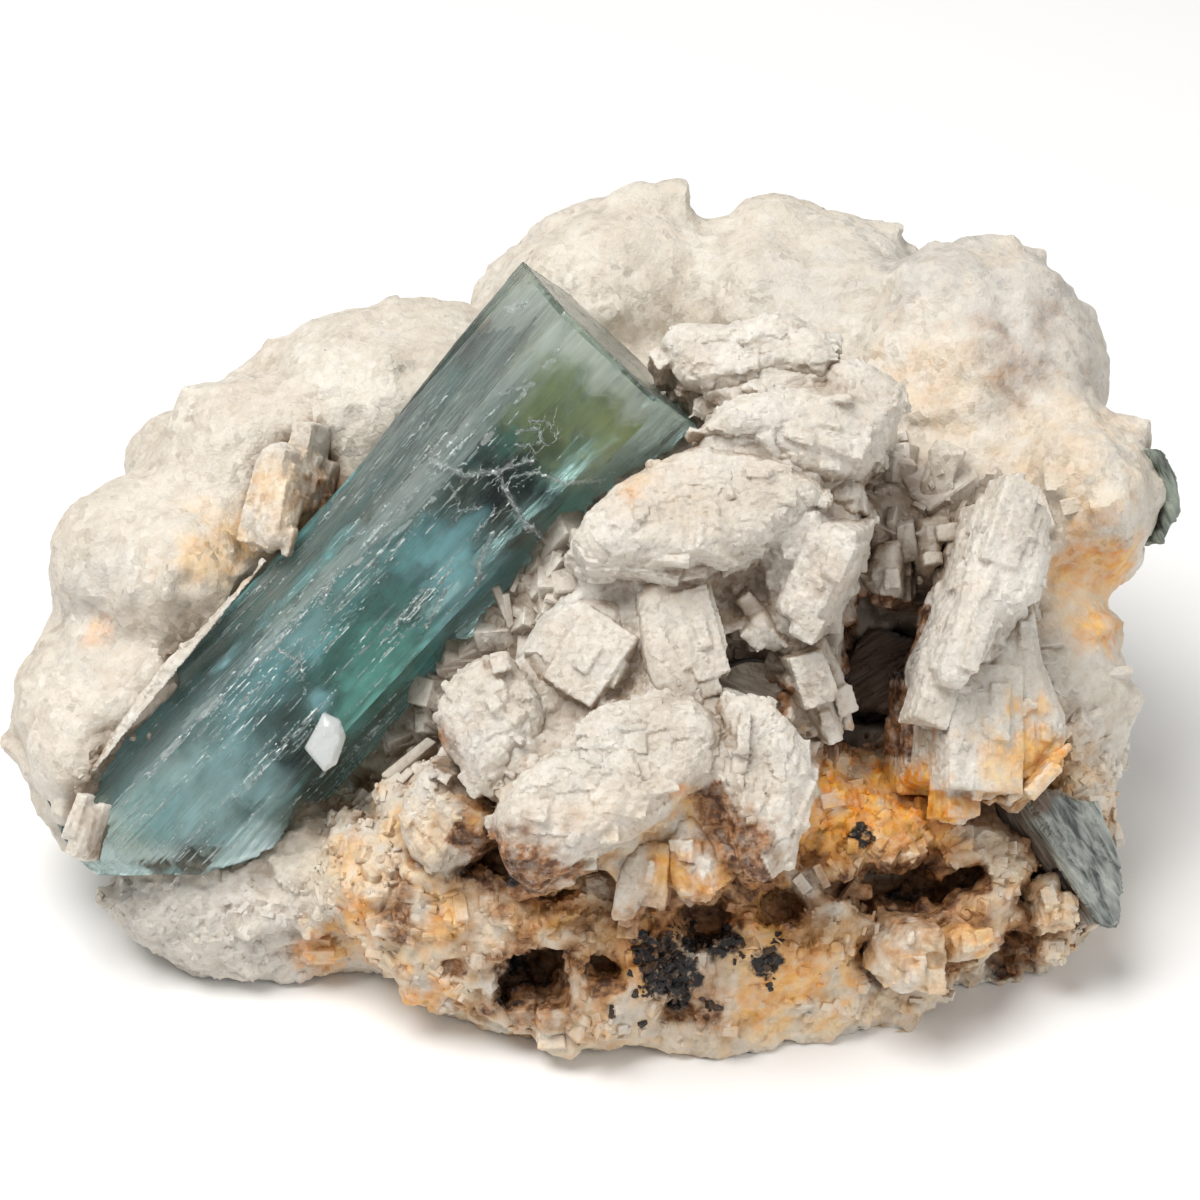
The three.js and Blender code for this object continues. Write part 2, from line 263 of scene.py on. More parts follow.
GREY = [
    (-36, -29, -10, 8, 0.8), (-24, -31, -9, 6, 0.7), (-45, 0, -11, 4, 0.6), (4, -37, -4, 8, 0.6),
    # The spots from 30 mm across and 19 mm up paint the shade of a pocket high at the right of the back
    # mass.
    (30, -34, -6, 7, 0.5), (20, 28, -20, 7, 0.5), (39, 25, -25, 7, 1.0), (31, 28, -24, 5.5, 1.0),
    (43, 19, -24, 4, 0.9), (26, -2, -10, 6, 0.6), (40, 2, -14, 2.6, 0.9), (-16, -36, -7, 7, 0.6),
    (17, 4, -4, 4, 0.4),
]


def blended(grid, spot, part_of=lambda part: part, wrap=False):
    """Values of a grid at places between its cells."""
    base = np.floor(spot).astype(int)
    if not wrap:
        base = base.clip(0, np.array(grid.shape) - 2)
    part = part_of((spot - base).clip(0, 1))
    total = np.zeros(len(spot))
    for corner in np.ndindex(2, 2, 2):
        cell = (base + corner) % grid.shape
        total += np.prod(np.where(corner, part, 1 - part), axis=1) * grid[cell[:, 0], cell[:, 1], cell[:, 2]]
    return total


def clouded(points, size, salt=0):
    """Smooth noise at points in millimetres, from about -1 to 1."""
    grid = np.random.default_rng(salt + 5).uniform(-1.2, 1.2, (48, 48, 48))
    return blended(grid, points / size + 0.37 * salt, lambda part: part * part * (3 - 2 * part), wrap=True)


def stained(at, spots, rag):
    """How strongly the spots colour each point, ragged at their edges."""
    total = np.zeros(len(at))
    for u, v, w, reach, strength in spots:
        away = np.linalg.norm((at - (u, v, w)) * (1, 1, 0.45), axis=1) / reach
        total = np.maximum(total, strength * np.clip(1.5 - away + 0.6 * rag, 0, 1))
    return total


def shaded(piece, name, columns):
    """Writes a colour attribute on the points from up to four columns."""
    rows = [np.asarray(c, float) for c in columns]
    while len(rows) < 4:
        rows.append(np.full(len(rows[0]), float(len(rows) == 3)))
    layer = piece.data.color_attributes.new(name, "FLOAT_COLOR", "POINT")
    layer.data.foreach_set("color", np.stack(rows, 1).astype(np.float32).ravel())


class Crowding:
    """How much solid lies around a place: a grid of what lies just below the pieces' skins, blurred. It
    stands in for ambient occlusion: the darkening drawn from it is painted shade.
    """

    CELL, MARGIN, SKIN = 0.6, 8, 3.1    # millimetres

    def __init__(self, pieces):
        self.low, high = np.array(cad_box[0]) / MM - self.MARGIN, np.array(cad_box[1]) / MM + self.MARGIN
        self.grid = np.zeros(((high - self.low) / self.CELL).astype(int), np.float32)
        for piece in pieces:
            at, normal = points_of(piece) / MM, normals_of(piece)
            for depth in np.arange(0, self.SKIN, self.CELL):
                cell = ((at - normal * depth - self.low) / self.CELL).astype(int)
                cell = cell.clip(0, np.array(self.grid.shape) - 1)
                self.grid[cell[:, 0], cell[:, 1], cell[:, 2]] = 1
        for _ in range(2):
            for axis in range(3):
                self.grid = sum(np.roll(self.grid, step, axis) for step in (-2, -1, 0, 1, 2)) / 5

    def around(self, at):
        return blended(self.grid, (at / MM - self.low) / self.CELL - 0.5)


LOW_TOP = -13    # millimetres up the display side: where its stained low front ends


def low_share(front):
    """How far a point belongs to the stained low front, 0 to 1."""
    return np.clip((LOW_TOP - front[:, 1]) / 5, 0, 1) * np.clip((front[:, 0] + 27) / 6, 0, 1)


def marked(piece, crowding, open_at, closed_at, soil_and_shade=1.0):
    """Writes three attributes: stain (rust, brown, black), tint (tan, grey) and hollow (broad, fine). Brown
    and black also hold painted shade: brown in crowded crevices of the low front, where it is part iron
    stain, and both inside the caves. Grey holds the painted shade of a pocket high at the right. Hollow is
    painted shade where neighbours crowd (broad) and in small creases (fine).
    """
    mesh = piece.data
    at, normal = points_of(piece), normals_of(piece)
    edges = np.empty(len(mesh.edges) * 2, np.int32)
    mesh.edges.foreach_get("vertices", edges)
    # fine: how far a point sits in a small crease; wide: how crowded its neighbourhood is. Both are written
    # as painted shade.
    fine = ((relaxed(at, edges.reshape(-1, 2), 3) - at) * normal).sum(1) / (0.32 * MM)
    wide = np.clip((crowding.around(at + normal * 1.1 * MM) - open_at) / (closed_at - open_at), 0, 1)
    front = front_of(at)
    rag = clouded(front, 2.2) + 0.6 * clouded(front, 0.8, 7)
    # Inside the caves the colour turns brown and partly black: painted shade in the hollows.
    inside = in_caves(front, -0.2)
    # crevice: brown where neighbours crowd on the low front, part iron stain and part painted shade.
    crevice = low_share(front) * soil_and_shade ** 0.5 * np.clip(1.45 * wide - 0.68 + 0.35 * rag, 0, 0.95)
    brown = np.maximum(stained(front, BROWN, rag), crevice)
    black = np.maximum(stained(front, BLACK, rag), 0.42 * inside)
    tan = np.maximum(stained(front, TAN, rag), low_share(front) * soil_and_shade * np.clip(0.45 + 0.5 * rag, 0, 0.8))
    shaded(piece, "stain_and_shade", [stained(front, RUST, rag), np.maximum(brown, inside), black])
    shaded(piece, "tint", [tan, stained(front, GREY, rag)])
    shaded(piece, "hollow_shade", [wide, np.clip(0.5 + fine, 0, 1)])
    return piece


# ---- Materials ----
class Shader:
    """A material's nodes, wired by short calls."""

    def __init__(self, name):
        self.material = bpy.data.materials.new(name)
        self.material.use_nodes = True
        self.tree = self.material.node_tree
        self.surface = self.tree.nodes["Principled BSDF"]
        self.output = self.tree.nodes["Material Output"]
        self.place = self.node("TexCoord").outputs["Object"]

    def node(self, kind, inputs=None, **settings):
        made = self.tree.nodes.new("ShaderNode" + kind)
        for key, value in settings.items():
            setattr(made, key, value)
        for key, value in (inputs or {}).items():
            self.into(made.inputs[key], value)
        return made

    def into(self, socket, value):
        if isinstance(value, bpy.types.NodeSocket):
            self.tree.links.new(value, socket)
        else:
            socket.default_value = value

    def set(self, **inputs):
        for key, value in inputs.items():
            self.into(self.surface.inputs[key.replace("_", " ")], value)

    def maths(self, operation, a, b, clamp=False):
        return self.node("Math", {0: a, 1: b}, operation=operation, use_clamp=clamp).outputs[0]

    def times(self, a, b, clamp=False):
        return self.maths("MULTIPLY", a, b, clamp=clamp)

    def plus(self, a, b):
        return self.maths("ADD", a, b)

    def larger(self, a, b):
        return self.maths("MAXIMUM", a, b)

    def over(self, colour, share, strength, tone):
        """A colour with a tone laid over it, by a share times a strength."""
        return self.mix(self.times(share, strength), colour, tone)

    def noise(self, size, detail=3, rough=0.55, place=None, distortion=0.0):
        made = self.node("TexNoise", {"Vector": place or self.place, "Scale": 1 / (size * MM),
                                      "Detail": detail, "Roughness": rough, "Distortion": distortion})
        return made.outputs["Fac"]

    def cell(self, size, feature="F1", output="Distance"):
        made = self.node("TexVoronoi", {"Vector": self.place, "Scale": 1 / (size * MM)}, feature=feature)
        return made.outputs[output]

    def ramp(self, value, low, high, out_low=0.0, out_high=1.0):
        made = self.node("MapRange", {"Value": value, "From Min": low, "From Max": high, "To Min": out_low,
                                      "To Max": out_high})
        return made.outputs[0]

    def mix(self, share, a, b):
        return self.node("Mix", {0: share, 6: a, 7: b}, data_type="RGBA").outputs[2]

    def attribute(self, name, part="Color"):
        found = self.node("Attribute", attribute_name=name)
        if isinstance(part, str):
            return found.outputs[part]
        return self.node("SeparateColor", {0: found.outputs["Color"]}).outputs[part]

    def bump(self, height, distance, strength):
        inputs = {"Height": height, "Distance": distance * MM, "Strength": strength}
        return self.node("Bump", inputs).outputs[0]


def rgb(r, g, b):
    return (r, g, b, 1.0)


def feldspar(name, light, shade, deep, grain=0.7, translucent=0.4):
    """Sugary albite: warm white, with painted shade, darker and warmer in its hollows, stained where its
    attributes say.
    """
    s = Shader(name)
    patch = s.ramp(s.noise(7, 4), 0.36, 0.66)
    colour = s.mix(patch, rgb(*light), rgb(*shade))
    blush = s.ramp(s.noise(4.5, 5, 0.65), 0.50, 0.68)
    colour = s.over(colour, blush, 0.40, rgb(0.63, 0.50, 0.40))
    # The grey tint: grey spots, some of which paint the shade of a pocket high at the right.
    colour = s.over(colour, s.attribute("tint", 1), 0.75, rgb(0.50, 0.48, 0.45))
    # Painted shade: the deep tone laid where neighbours crowd (broad) and in small creases (fine); the
    # mottle darkens towards it there too.
    broad = s.ramp(s.attribute("hollow_shade", 0), 0.25, 1.0)
    fine = s.ramp(s.attribute("hollow_shade", 1), 0.50, 0.95)
    colour = s.over(colour, broad, 0.90, rgb(*deep))
    colour = s.over(colour, fine, 0.30, rgb(*deep))
    mottle = s.ramp(s.noise(0.8, 5, 0.72), 0.44, 0.62)
    colour = s.over(colour, mottle, 0.42, s.mix(broad, rgb(*shade), rgb(*deep)))
    outline = s.ramp(s.cell(grain * 1.5, "DISTANCE_TO_EDGE"), 0.015, 0.08, 1, 0)
    outline = s.times(outline, s.ramp(s.noise(1.7, 3), 0.40, 0.62))
    colour = s.over(colour, outline, 0.26, rgb(*(0.62 * c for c in shade)))
    grains = s.cell(grain, output="Color")
    lift = s.node("SeparateColor", {0: grains}).outputs[0]
    colour = s.mix(s.ramp(lift, 0, 1, 0.0, 0.22), colour, rgb(0.92, 0.90, 0.86))
    specks = s.ramp(s.noise(0.30, 2), 0.74, 0.78)
    colour = s.over(colour, specks, 0.4, rgb(0.25, 0.18, 0.12))
    tear = s.ramp(s.noise(1.0, 4, 0.65), 0.3, 0.7, 0.45, 1.3)
    tan = s.times(s.attribute("tint", 0), tear, clamp=True)
    sand = s.mix(s.ramp(s.noise(1.5, 4), 0.38, 0.64), rgb(0.86, 0.62, 0.32), rgb(0.78, 0.41, 0.12))
    colour = s.over(colour, tan, 0.85, sand)
    rust = s.times(s.attribute("stain_and_shade", 0), tear, clamp=True)
    ochre = s.mix(s.ramp(s.noise(1.8, 3), 0.40, 0.62), rgb(0.78, 0.27, 0.01), rgb(0.92, 0.49, 0.07))
    colour = s.mix(rust, colour, ochre)
    # The brown stain, which also holds painted shade in crevices of the low front and inside the caves.
    brown = s.times(s.attribute("stain_and_shade", 1), tear, clamp=True)
    umber = s.mix(s.ramp(s.noise(1.3, 3), 0.38, 0.62), rgb(0.12, 0.042, 0.014), rgb(0.40, 0.18, 0.065))
    colour = s.mix(brown, colour, umber)
    # Black grains, and painted shade inside the caves.
    black = s.ramp(s.times(s.attribute("stain_and_shade", 2), tear), 0.35, 0.6)
    colour = s.mix(black, colour, rgb(0.016, 0.014, 0.014))
    facet = s.node("VectorMath", {0: grains, 1: (0.5, 0.5, 0.5)}, operation="SUBTRACT").outputs[0]
    facet = s.node("VectorMath", {0: facet, "Scale": 0.5}, operation="SCALE").outputs[0]
    normal = s.bump(s.noise(0.45, 5, 0.62), 0.30, 0.6)
    normal = s.node("VectorMath", {0: normal, 1: facet}, operation="ADD").outputs[0]
    normal = s.node("VectorMath", {0: normal}, operation="NORMALIZE").outputs[0]
    s.set(Base_Color=colour, Roughness=s.ramp(s.noise(1.1, 2), 0.3, 0.7, 0.30, 0.62), Normal=normal,
          Subsurface_Weight=translucent, Subsurface_Radius=(1.0, 0.8, 0.6), Subsurface_Scale=2.0 * MM,
          Specular_IOR_Level=0.45)
    return s.material


ALBITE = feldspar("white albite", (0.76, 0.72, 0.65), (0.575, 0.51, 0.425), (0.27, 0.18, 0.105), grain=0.45,
                  translucent=0.22)
CRUST = feldspar("cream albite crust", (0.75, 0.70, 0.615), (0.61, 0.54, 0.44), (0.26, 0.175, 0.105),
                 translucent=0)
SMALL = feldspar("small albite", (0.76, 0.72, 0.65), (0.64, 0.58, 0.495), (0.25, 0.165, 0.10), grain=0.5,
                 translucent=0)


def plain(name, colour, rough):
    s = Shader(name)
    s.set(Base_Color=rgb(*colour), Roughness=rough)
    return s.material


# ---- Camera and light ----
bpy.ops.object.camera_add()
camera = bpy.context.active_object
camera.matrix_world = Matrix.Translation(place(0, 0, EYE_DISTANCE)) @ FRONT.to_4x4()
camera.data.sensor_width = 36
camera.data.lens = camera.data.sensor_width / 2 * EYE_DISTANCE / HALF_VIEW
camera.data.clip_start = 0.01
camera.data.clip_end = 10
bpy.context.scene.camera = camera


def lamp(name, at, size, power, colour):
    """A round soft light, turned to the middle of the specimen."""
    bpy.ops.object.light_add(type="AREA", location=at)
    light = bpy.context.active_object
    light.name = name
    light.data.shape = "DISK"
    light.data.size = size
    light.data.energy = power
    light.data.color = colour
    light.rotation_euler = (Vector((0, 0, 0.02)) - Vector(at)).to_track_quat("-Z", "Y").to_euler()


lamp("key light", (-0.20, -0.08, 0.65), 0.45, 4.6, (1.0, 0.985, 0.96))
lamp("fill light", (0.55, -0.45, 0.40), 0.5, 1.2, (0.96, 0.98, 1.0))
world = bpy.data.worlds.new("studio")
world.use_nodes = True
sky = world.node_tree.nodes["Background"]
sky.inputs["Color"].default_value = rgb(1.0, 0.99, 0.97)
sky.inputs["Strength"].default_value = 0.35
bpy.context.scene.world = world
bpy.context.scene.view_settings.view_transform = "Standard"

bpy.ops.mesh.primitive_plane_add(size=4.0)
floor = bpy.context.active_object
floor.name = "floor"
floor.data.materials.append(plain("floor", (0.93, 0.93, 0.93), 0.8))


def finished(piece, node, material, angle=40):
    piece.data.materials.clear()
    piece.data.materials.append(material)
    alone(piece)
    bpy.ops.object.shade_smooth_by_angle(angle=math.radians(angle))
    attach(piece, "root")
    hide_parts(node)
    return piece


# ---- Small crystals ----
def pattern_block(name, size, bevel, seed):
    """A small cleavage block of albite: a cuboid with worn corners, to be copied."""
    piece = edit(cube(2), resize(*size), jitter(0.10, seed))
    piece.name = name
    if bevel:
        edit(piece, lambda: bpy.ops.mesh.bevel(offset=bevel * MM, segments=1, affect="EDGES"))
    return piece


BLANKS = [pattern_block("blank tablet", (1.0, 0.75, 0.45), 0, 1),
          pattern_block("blank bar", (1.0, 0.5, 0.42), 0, 2)]
PLATE = pattern_block("pattern plate", (1.0, 0.75, 0.34), 0.06, 3)
BRICK = pattern_block("pattern brick", (1.0, 0.85, 0.65), 0.08, 4)
STICK = pattern_block("pattern stick", (1.0, 0.42, 0.36), 0.06, 5)
CRISP = [PLATE, BRICK, STICK]
GRAINS = [pattern_block("pattern grain", (1.0, 0.9, 0.8), 0.22, 6),
          pattern_block("pattern lump", (1.0, 0.7, 0.7), 0.2, 7), BRICK]


def copied(pattern, turn, size, at):
    """A copy of a pattern with its own mesh, turned, sized along its own axes in millimetres, and placed."""
    mesh = pattern.data.copy()
    mesh.transform(Matrix.Translation(at) @ turn.to_4x4() @ Matrix.Diagonal((*size, 1)))
    piece = bpy.data.objects.new(pattern.name + " copy", mesh)
    bpy.context.scene.collection.objects.link(piece)
    return piece


def faces_of(piece):
    """Centres, normals and areas of a piece's faces."""
    mesh = piece.data
    count = len(mesh.polygons)
    centre, normal, area = np.empty(count * 3), np.empty(count * 3), np.empty(count)
    mesh.polygons.foreach_get("center", centre)
    mesh.polygons.foreach_get("normal", normal)
    mesh.polygons.foreach_get("area", area)
    return centre.reshape(-1, 3), normal.reshape(-1, 3), area


def own_axes(piece):
    """The directions of a slab crystal: its wide face's normal last, its longest side's normal second."""
    _, normal, area = faces_of(piece)
    total = {}
    for n, a in zip(np.round(normal, 1), area):
        total[tuple(n)] = total.get(tuple(n), 0) + a
    ranked = sorted(total, key=lambda n: -total[n])
    third = Vector(ranked[0]).normalized()
    across = [Vector(n).normalized() for n in ranked if abs(Vector(n).normalized().dot(third)) < 0.3]
    second = (across[0] - third * across[0].dot(third)).normalized()
    return Matrix((second.cross(third), second, third)).transposed()


def tilted(rng, jitter):
    turn = Matrix.Identity(3)
    for axis in "XYZ":
        turn = turn @ turned(rng.gauss(0, jitter), axis)
    return turn


def blocks_on(piece, axes, count, sizes, proud, jitter, patterns, where=None, seed=1):
    """Small blocks sunk in a piece's surface and turned with its axes; sizes and proud in millimetres."""
    rng = random.Random(seed)
    centre, normal, area = faces_of(piece)
    weight = area if where is None else area * where(centre, normal)
    if count < 1 or weight.sum() <= 0:
        return []
    blocks = []
    for pick in rng.choices(range(len(area)), weights=weight.tolist(), k=count):
        at, out = Vector(centre[pick]), Vector(normal[pick])
        big = sizes[0] + (sizes[1] - sizes[0]) * rng.random() ** 1.6
        size = Vector((big, big * rng.uniform(0.6, 1.0), big * rng.uniform(0.55, 1.0))) * 0.5
        turn = (axes(at) if callable(axes) else axes) @ tilted(rng, jitter)
        pattern = rng.choice(patterns)
        half = [max(abs(v.co[k]) for v in pattern.data.vertices) * size[k] for k in range(3)]
        reach = sum(abs(out.dot(turn.col[k])) * half[k] for k in range(3))
        blocks.append(copied(pattern, turn, size, at - out * max(reach - rng.uniform(*proud) * MM, 0)))
    return blocks


def dressed(piece, *args, **options):
    blocks = blocks_on(piece, *args, **options)
    return joined([piece] + blocks, piece.name) if blocks else piece


def cluster_axes(size):
    """Directions shared by the blocks that lie within one cell of so many millimetres."""
    def axes(at):
        salt = int(abs(sum(round(c / (size * MM)) * k for c, k in zip(at, (131, 1709, 7919))))) % 9973
        rng = random.Random(salt)
        return Matrix.Rotation(rng.uniform(0, 6.28), 3, "X") @ Matrix.Rotation(rng.uniform(0, 6.28), 3, "Y")
    return axes


# ---- Feldspar crystals ----
GRAIN = cloud("grain", 0.7, 3)
LUMPS = cloud("lumps", 5.0, 2)
COARSE_STEPS = cells("coarse steps", 1.5, mode="POSITION", metric="CHEBYCHEV")
SUGAR = cells("sugar", 0.62, mode="POSITION", metric="CHEBYCHEV")

FELDSPAR_NODES = [row["node"] for row in frame["record"]["subparts"] if row["material_slot"] == "feldspar"]
GRANULAR = ("keel_slab", "right_lobe", "knob_crystal", "crest_block", "shoulder_slab", "split_slab",
            "left_rail", "ledge_block", "left_block")
# Corners broken off crystals: a point of the break and the way it faces, on the display side.
BREAKS = {
    "keel_slab": (((10.4, -12.2, 0), (0.75, -0.66, 0)), ((-7.5, -14.5, 0), (-0.6, 0.8, 0))),
}
# The prism's left edge, as the viewer's eye sees it, bounds the crystals that grow against it.
EYE = place(0, 0, EYE_DISTANCE)
LEFT_EDGE = ((-46.6, -17.7), (-8.0, 29.7))
EDGE_LOW, EDGE_HIGH = (place(u, v, -10) for u, v in LEFT_EDGE)
BESIDE_EDGE = (EDGE_HIGH - EDGE_LOW).cross(EYE - EDGE_LOW).normalized()

grown = []
for order, node in enumerate(FELDSPAR_NODES):
    crystal = copy_of(node, node + "_grown")
    axes = own_axes(crystal)
    low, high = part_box(node)
    breadth = (high - low).length / MM
    for at, facing in BREAKS.get(node, ()):
        cut(crystal, place(*at), FRONT @ Vector(facing), use_fill=True, clear_outer=True)
    remeshed(crystal, 0.5)
    area = faces_of(crystal)[2].sum() / MM ** 2
    if node in GRANULAR:
        applied(crystal, "SMOOTH", factor=0.5, iterations=3)
        displaced(crystal, LUMPS, 1.4, 0.42)
        dressed(crystal, axes, int(area / 14), (1.8, 6.0), (0.3, 1.2), 12, BLANKS, seed=order)
        remeshed(crystal, 0.2)
        stepped(crystal, axes @ tilted(random.Random(order), 8), (COARSE_STEPS, (1.9, 1.1, 1), 0.55),
                (SUGAR, (1.4, 1, 1), 0.26))
        displaced(crystal, GRAIN, 0.18)
    else:
        dressed(crystal, axes, 9, (0.18 * breadth, 0.42 * breadth), (0.3, 0.9), 1.5, BLANKS, seed=order)
        dressed(crystal, axes, int(area / 9), (1.4, 4.2), (0.3, 0.9), 2, BLANKS, seed=order + 50)
        remeshed(crystal, 0.2)
        stepped(crystal, axes, (COARSE_STEPS, (2.6, 1.3, 1), 0.34), (SUGAR, (2.4, 1.2, 1), 0.14))
        displaced(crystal, GRAIN, 0.08)
    if node == "left_rail":
        edit(crystal, shift(*(OUT * -2.5)))
        cut(crystal, EDGE_LOW, BESIDE_EDGE, use_fill=True, clear_inner=BESIDE_EDGE.x < 0,
            clear_outer=BESIDE_EDGE.x > 0)
        crystal.data.validate()
    grown.append(crystal)

# The large crystals are grown together: a mass that follows them closely fills the gaps between them.
LOOSE = ("left_rail", "white_spike", "foot_chip", "base_cube_left", "base_cube_right", "back_block_left",
         "back_block_right", "ledge_block", "left_block")
fused = [copy_of(node, node + "_core") for node in FELDSPAR_NODES if node not in LOOSE]
fused = joined(fused, "grown_together")
remeshed(fused, 0.7)
applied(fused, "DISPLACE", strength=1.3 * MM, mid_level=0)
remeshed(fused, 0.7)
applied(fused, "SMOOTH", factor=0.5, iterations=2)
applied(fused, "DISPLACE", strength=-1.75 * MM, mid_level=0)
area = faces_of(fused)[2].sum() / MM ** 2
dressed(fused, cluster_axes(5), int(area / 12), (1.4, 4.6), (0.3, 1.4), 6, BLANKS, seed=70)
remeshed(fused, 0.33)
stepped(fused, tilted(random.Random(8), 30), (COARSE_STEPS, (1.5, 1, 1), 0.6), (SUGAR, (1.2, 1, 1), 0.25))
displaced(fused, GRAIN, 0.18)

# ---- Matrix ----
KNOBS = cells("knobs", 9.0, metric="DISTANCE_SQUARED")
BUDS = cells("buds", 3.2, metric="DISTANCE_SQUARED")
FLAKES = cells("flakes", 1.1, mode="POSITION", metric="MANHATTAN")
RUGGED = cloud("rugged", 2.6, 3)

# Angular hollows of the low front: across, up, out, half sizes and turn in the display side's frame.
CAVES = (
    (-5.6, -32.6, -3, 3.2, 2.8, 6.5, 4), (-7.2, -22.6, 3, 4.0, 2.4, 6.5, -18),
    (11.4, -20.8, 4, 1.7, 6.2, 7, 28), (26.8, -25.0, -8, 4.6, 2.4, 7, -8),
    (0.4, -32.0, -1, 1.7, 2.0, 4.5, 12), (36.6, -31.2, -9, 2.2, 2.6, 6, 10),
    (-16.9, -26.5, -3, 0.9, 3.2, 4.5, -6), (9.4, -27.2, 0, 2.6, 2.0, 6, 20),
    (15.6, -26.4, -1, 2.2, 1.6, 5, -25), (31.6, -24.5, -8, 2.4, 1.6, 5, 15),
    (-11.0, -20.2, 2, 2.0, 1.4, 5, -30), (8.2, -35.6, -2, 2.6, 0.9, 3.5, 3),
    (20.5, -24.5, -3, 1.6, 1.2, 4, 30), (-12.5, -31.5, -3, 1.3, 1.0, 3, 10),
    (24.6, -6.5, -9, 4.2, 7.0, 5, -12), (13.2, -7.6, -3, 3.4, 1.5, 4, -20),
)


def in_caves(at, rim=0.7):
    inside = np.zeros(len(at), bool)
    for u, v, w, wide, tall, deep, turn in CAVES:
        c, s = math.cos(math.radians(turn)), math.sin(math.radians(turn))
        x, y = (at[:, 0] - u) * c + (at[:, 1] - v) * s, (at[:, 1] - v) * c - (at[:, 0] - u) * s
        inside |= (abs(x) < wide + rim) & (abs(y) < tall + rim) & (abs(at[:, 2] - w) < deep + rim)
    return inside


def outward(normal):
    """How squarely each face looks out of the display side, from -1 to 1."""
    return normal @ np.array(OUT)


def low_front(centre, normal):
    at = front_of(centre)
    seen = (outward(normal) > -0.1) & (centre[:, 2] > 3 * MM)
    return ((at[:, 1] < LOW_TOP) & (at[:, 0] > -25) & seen & ~in_caves(at, -0.3)).astype(float)


def low_left(centre, normal):
    at = front_of(centre)
    return ((at[:, 1] < -14) & (at[:, 0] < -20) & (centre[:, 2] > 3 * MM)).astype(float)


def elsewhere(centre, normal):
    at = front_of(centre)
    return ~((at[:, 1] < LOW_TOP) & (at[:, 0] > -24) & (outward(normal) > -0.1))


rock = copy_of("matrix", "matrix_grown")
for u, v, w, wide, tall, deep, turn in CAVES:
    cutter = edit(cube(2), resize(wide, tall, deep), lambda: bpy.ops.mesh.subdivide(number_cuts=2),
                  jitter(0.30, int(abs(u) + 9)))
    cutter.data.transform(Matrix.Translation(place(u, v, w)) @ (FRONT @ turned(turn, "Z")).to_4x4())
    applied(rock, "BOOLEAN", object=cutter, operation="DIFFERENCE", solver="EXACT")
    bpy.data.objects.remove(cutter)
remeshed(rock, 0.6)
displaced(rock, KNOBS, -2.8, 0.28)
dressed(rock, cluster_axes(8), 480, (3, 9.5), (0.4, 1.7), 9, BLANKS, where=elsewhere, seed=60)
dressed(rock, cluster_axes(5.5), 420, (1.8, 5.6), (0.4, 2.2), 8, BLANKS, where=low_front, seed=61)

# The stained low front is a finer piece of its own, laid over the rest.
crust = duplicate(rock, "matrix_front")
remeshed(crust, 0.5)
for at, facing in (((0, -12, 0), (0, 1, 0)), ((-46, 0, 0), (-1, 0, 0)), ((0, 0, -24), (0, 0, -1))):
    cut(crust, place(*at), FRONT @ Vector(facing), use_fill=True, clear_outer=True)
remeshed(crust, 0.34)
displaced(crust, BUDS, -0.5, 0.3)
displaced(crust, RUGGED, 1.2)
stepped(crust, tilted(random.Random(3), 30), (COARSE_STEPS, (1, 1, 1), 0.7), (SUGAR, (1, 1, 1), 0.3))
displaced(crust, GRAIN, 0.25)

remeshed(rock, 0.62)
front = front_of(points_of(rock))
soft = rock.vertex_groups.new(name="soft")
back_share = np.clip((front[:, 1] - 4) / 10, 0, 1) * np.clip((-front[:, 2] - 8) / 8, 0, 1)
back_share *= np.clip((front[:, 2] + 32) / 6, 0, 1)
covered = np.clip((-12.5 - front[:, 1]) / 3, 0, 1) * (front[:, 0] > -44) * (front[:, 2] > -21)
sunk = rock.vertex_groups.new(name="sunk")
for step in range(1, 11):
    soft.add(np.flatnonzero(np.round(back_share * 10) == step).tolist(), step / 10, "REPLACE")
    sunk.add(np.flatnonzero(np.round(covered * 10) == step).tolist(), step / 10, "REPLACE")
applied(rock, "SMOOTH", factor=0.5, iterations=20, vertex_group="soft")
displaced(rock, BUDS, -0.7, 0.3)
displaced(rock, FLAKES, 0.26)
displaced(rock, GRAIN, 0.25)
applied(rock, "DISPLACE", strength=-1.6 * MM, mid_level=0, vertex_group="sunk")
for piece in (rock, crust):
    cut(piece, (0, 0, 0), (0, 0, 1), use_fill=True, clear_inner=True)
    piece.data.validate()

# ---- Druse: the small crystals that fill the ground between the large ones ----
crystal_points = np.concatenate([points_of(crystal)[::5] for crystal in grown])
near = KDTree(len(crystal_points))
for order, point in enumerate(crystal_points):
    near.insert(Vector(point), order)
near.balance()


def right_of_prism(at):
    """How far points of the display side lie to the right of the prism's left edge, in millimetres."""
    low, high = np.array(LEFT_EDGE)
    rise = (high - low) / math.hypot(*(high - low))
    return (at[:, 0] - low[0]) * rise[1] - (at[:, 1] - low[1]) * rise[0]


def between(centre, normal):
    """High on the display side's ground, among the large crystals and along the prism's right side."""
    at = front_of(centre)
    share = np.zeros(len(at))
    beside = right_of_prism(at)
    open_ground = (beside > 14) & (at[:, 0] < 50) & (at[:, 1] > -19) & (at[:, 2] > -17) & ~in_caves(at)
    open_ground &= at[:, 1] < 25 - 0.45 * np.clip(at[:, 0] - 16, 0, 40)
    hugging = np.clip((26 - beside) / 4, 0, 1) * (at[:, 1] < 12)
    for i in np.flatnonzero((outward(normal) > 0.05) & open_ground):
        away = near.find(Vector(centre[i]))[2] / MM
        share[i] = 0.015 + math.exp(-(away / 2.0) ** 2) + hugging[i]
    return share


def blackened(centre, normal):
    """High where the low front carries black grains."""
    at = front_of(centre)
    return (stained(at, BLACK[:5], 2.2 * clouded(at, 0.9)) > 0.6) * (outward(normal) > 0)


def druse(name, ground, *args, **options):
    piece = joined(blocks_on(ground, *args, **options), name)
    piece.data.materials.clear()
    return piece


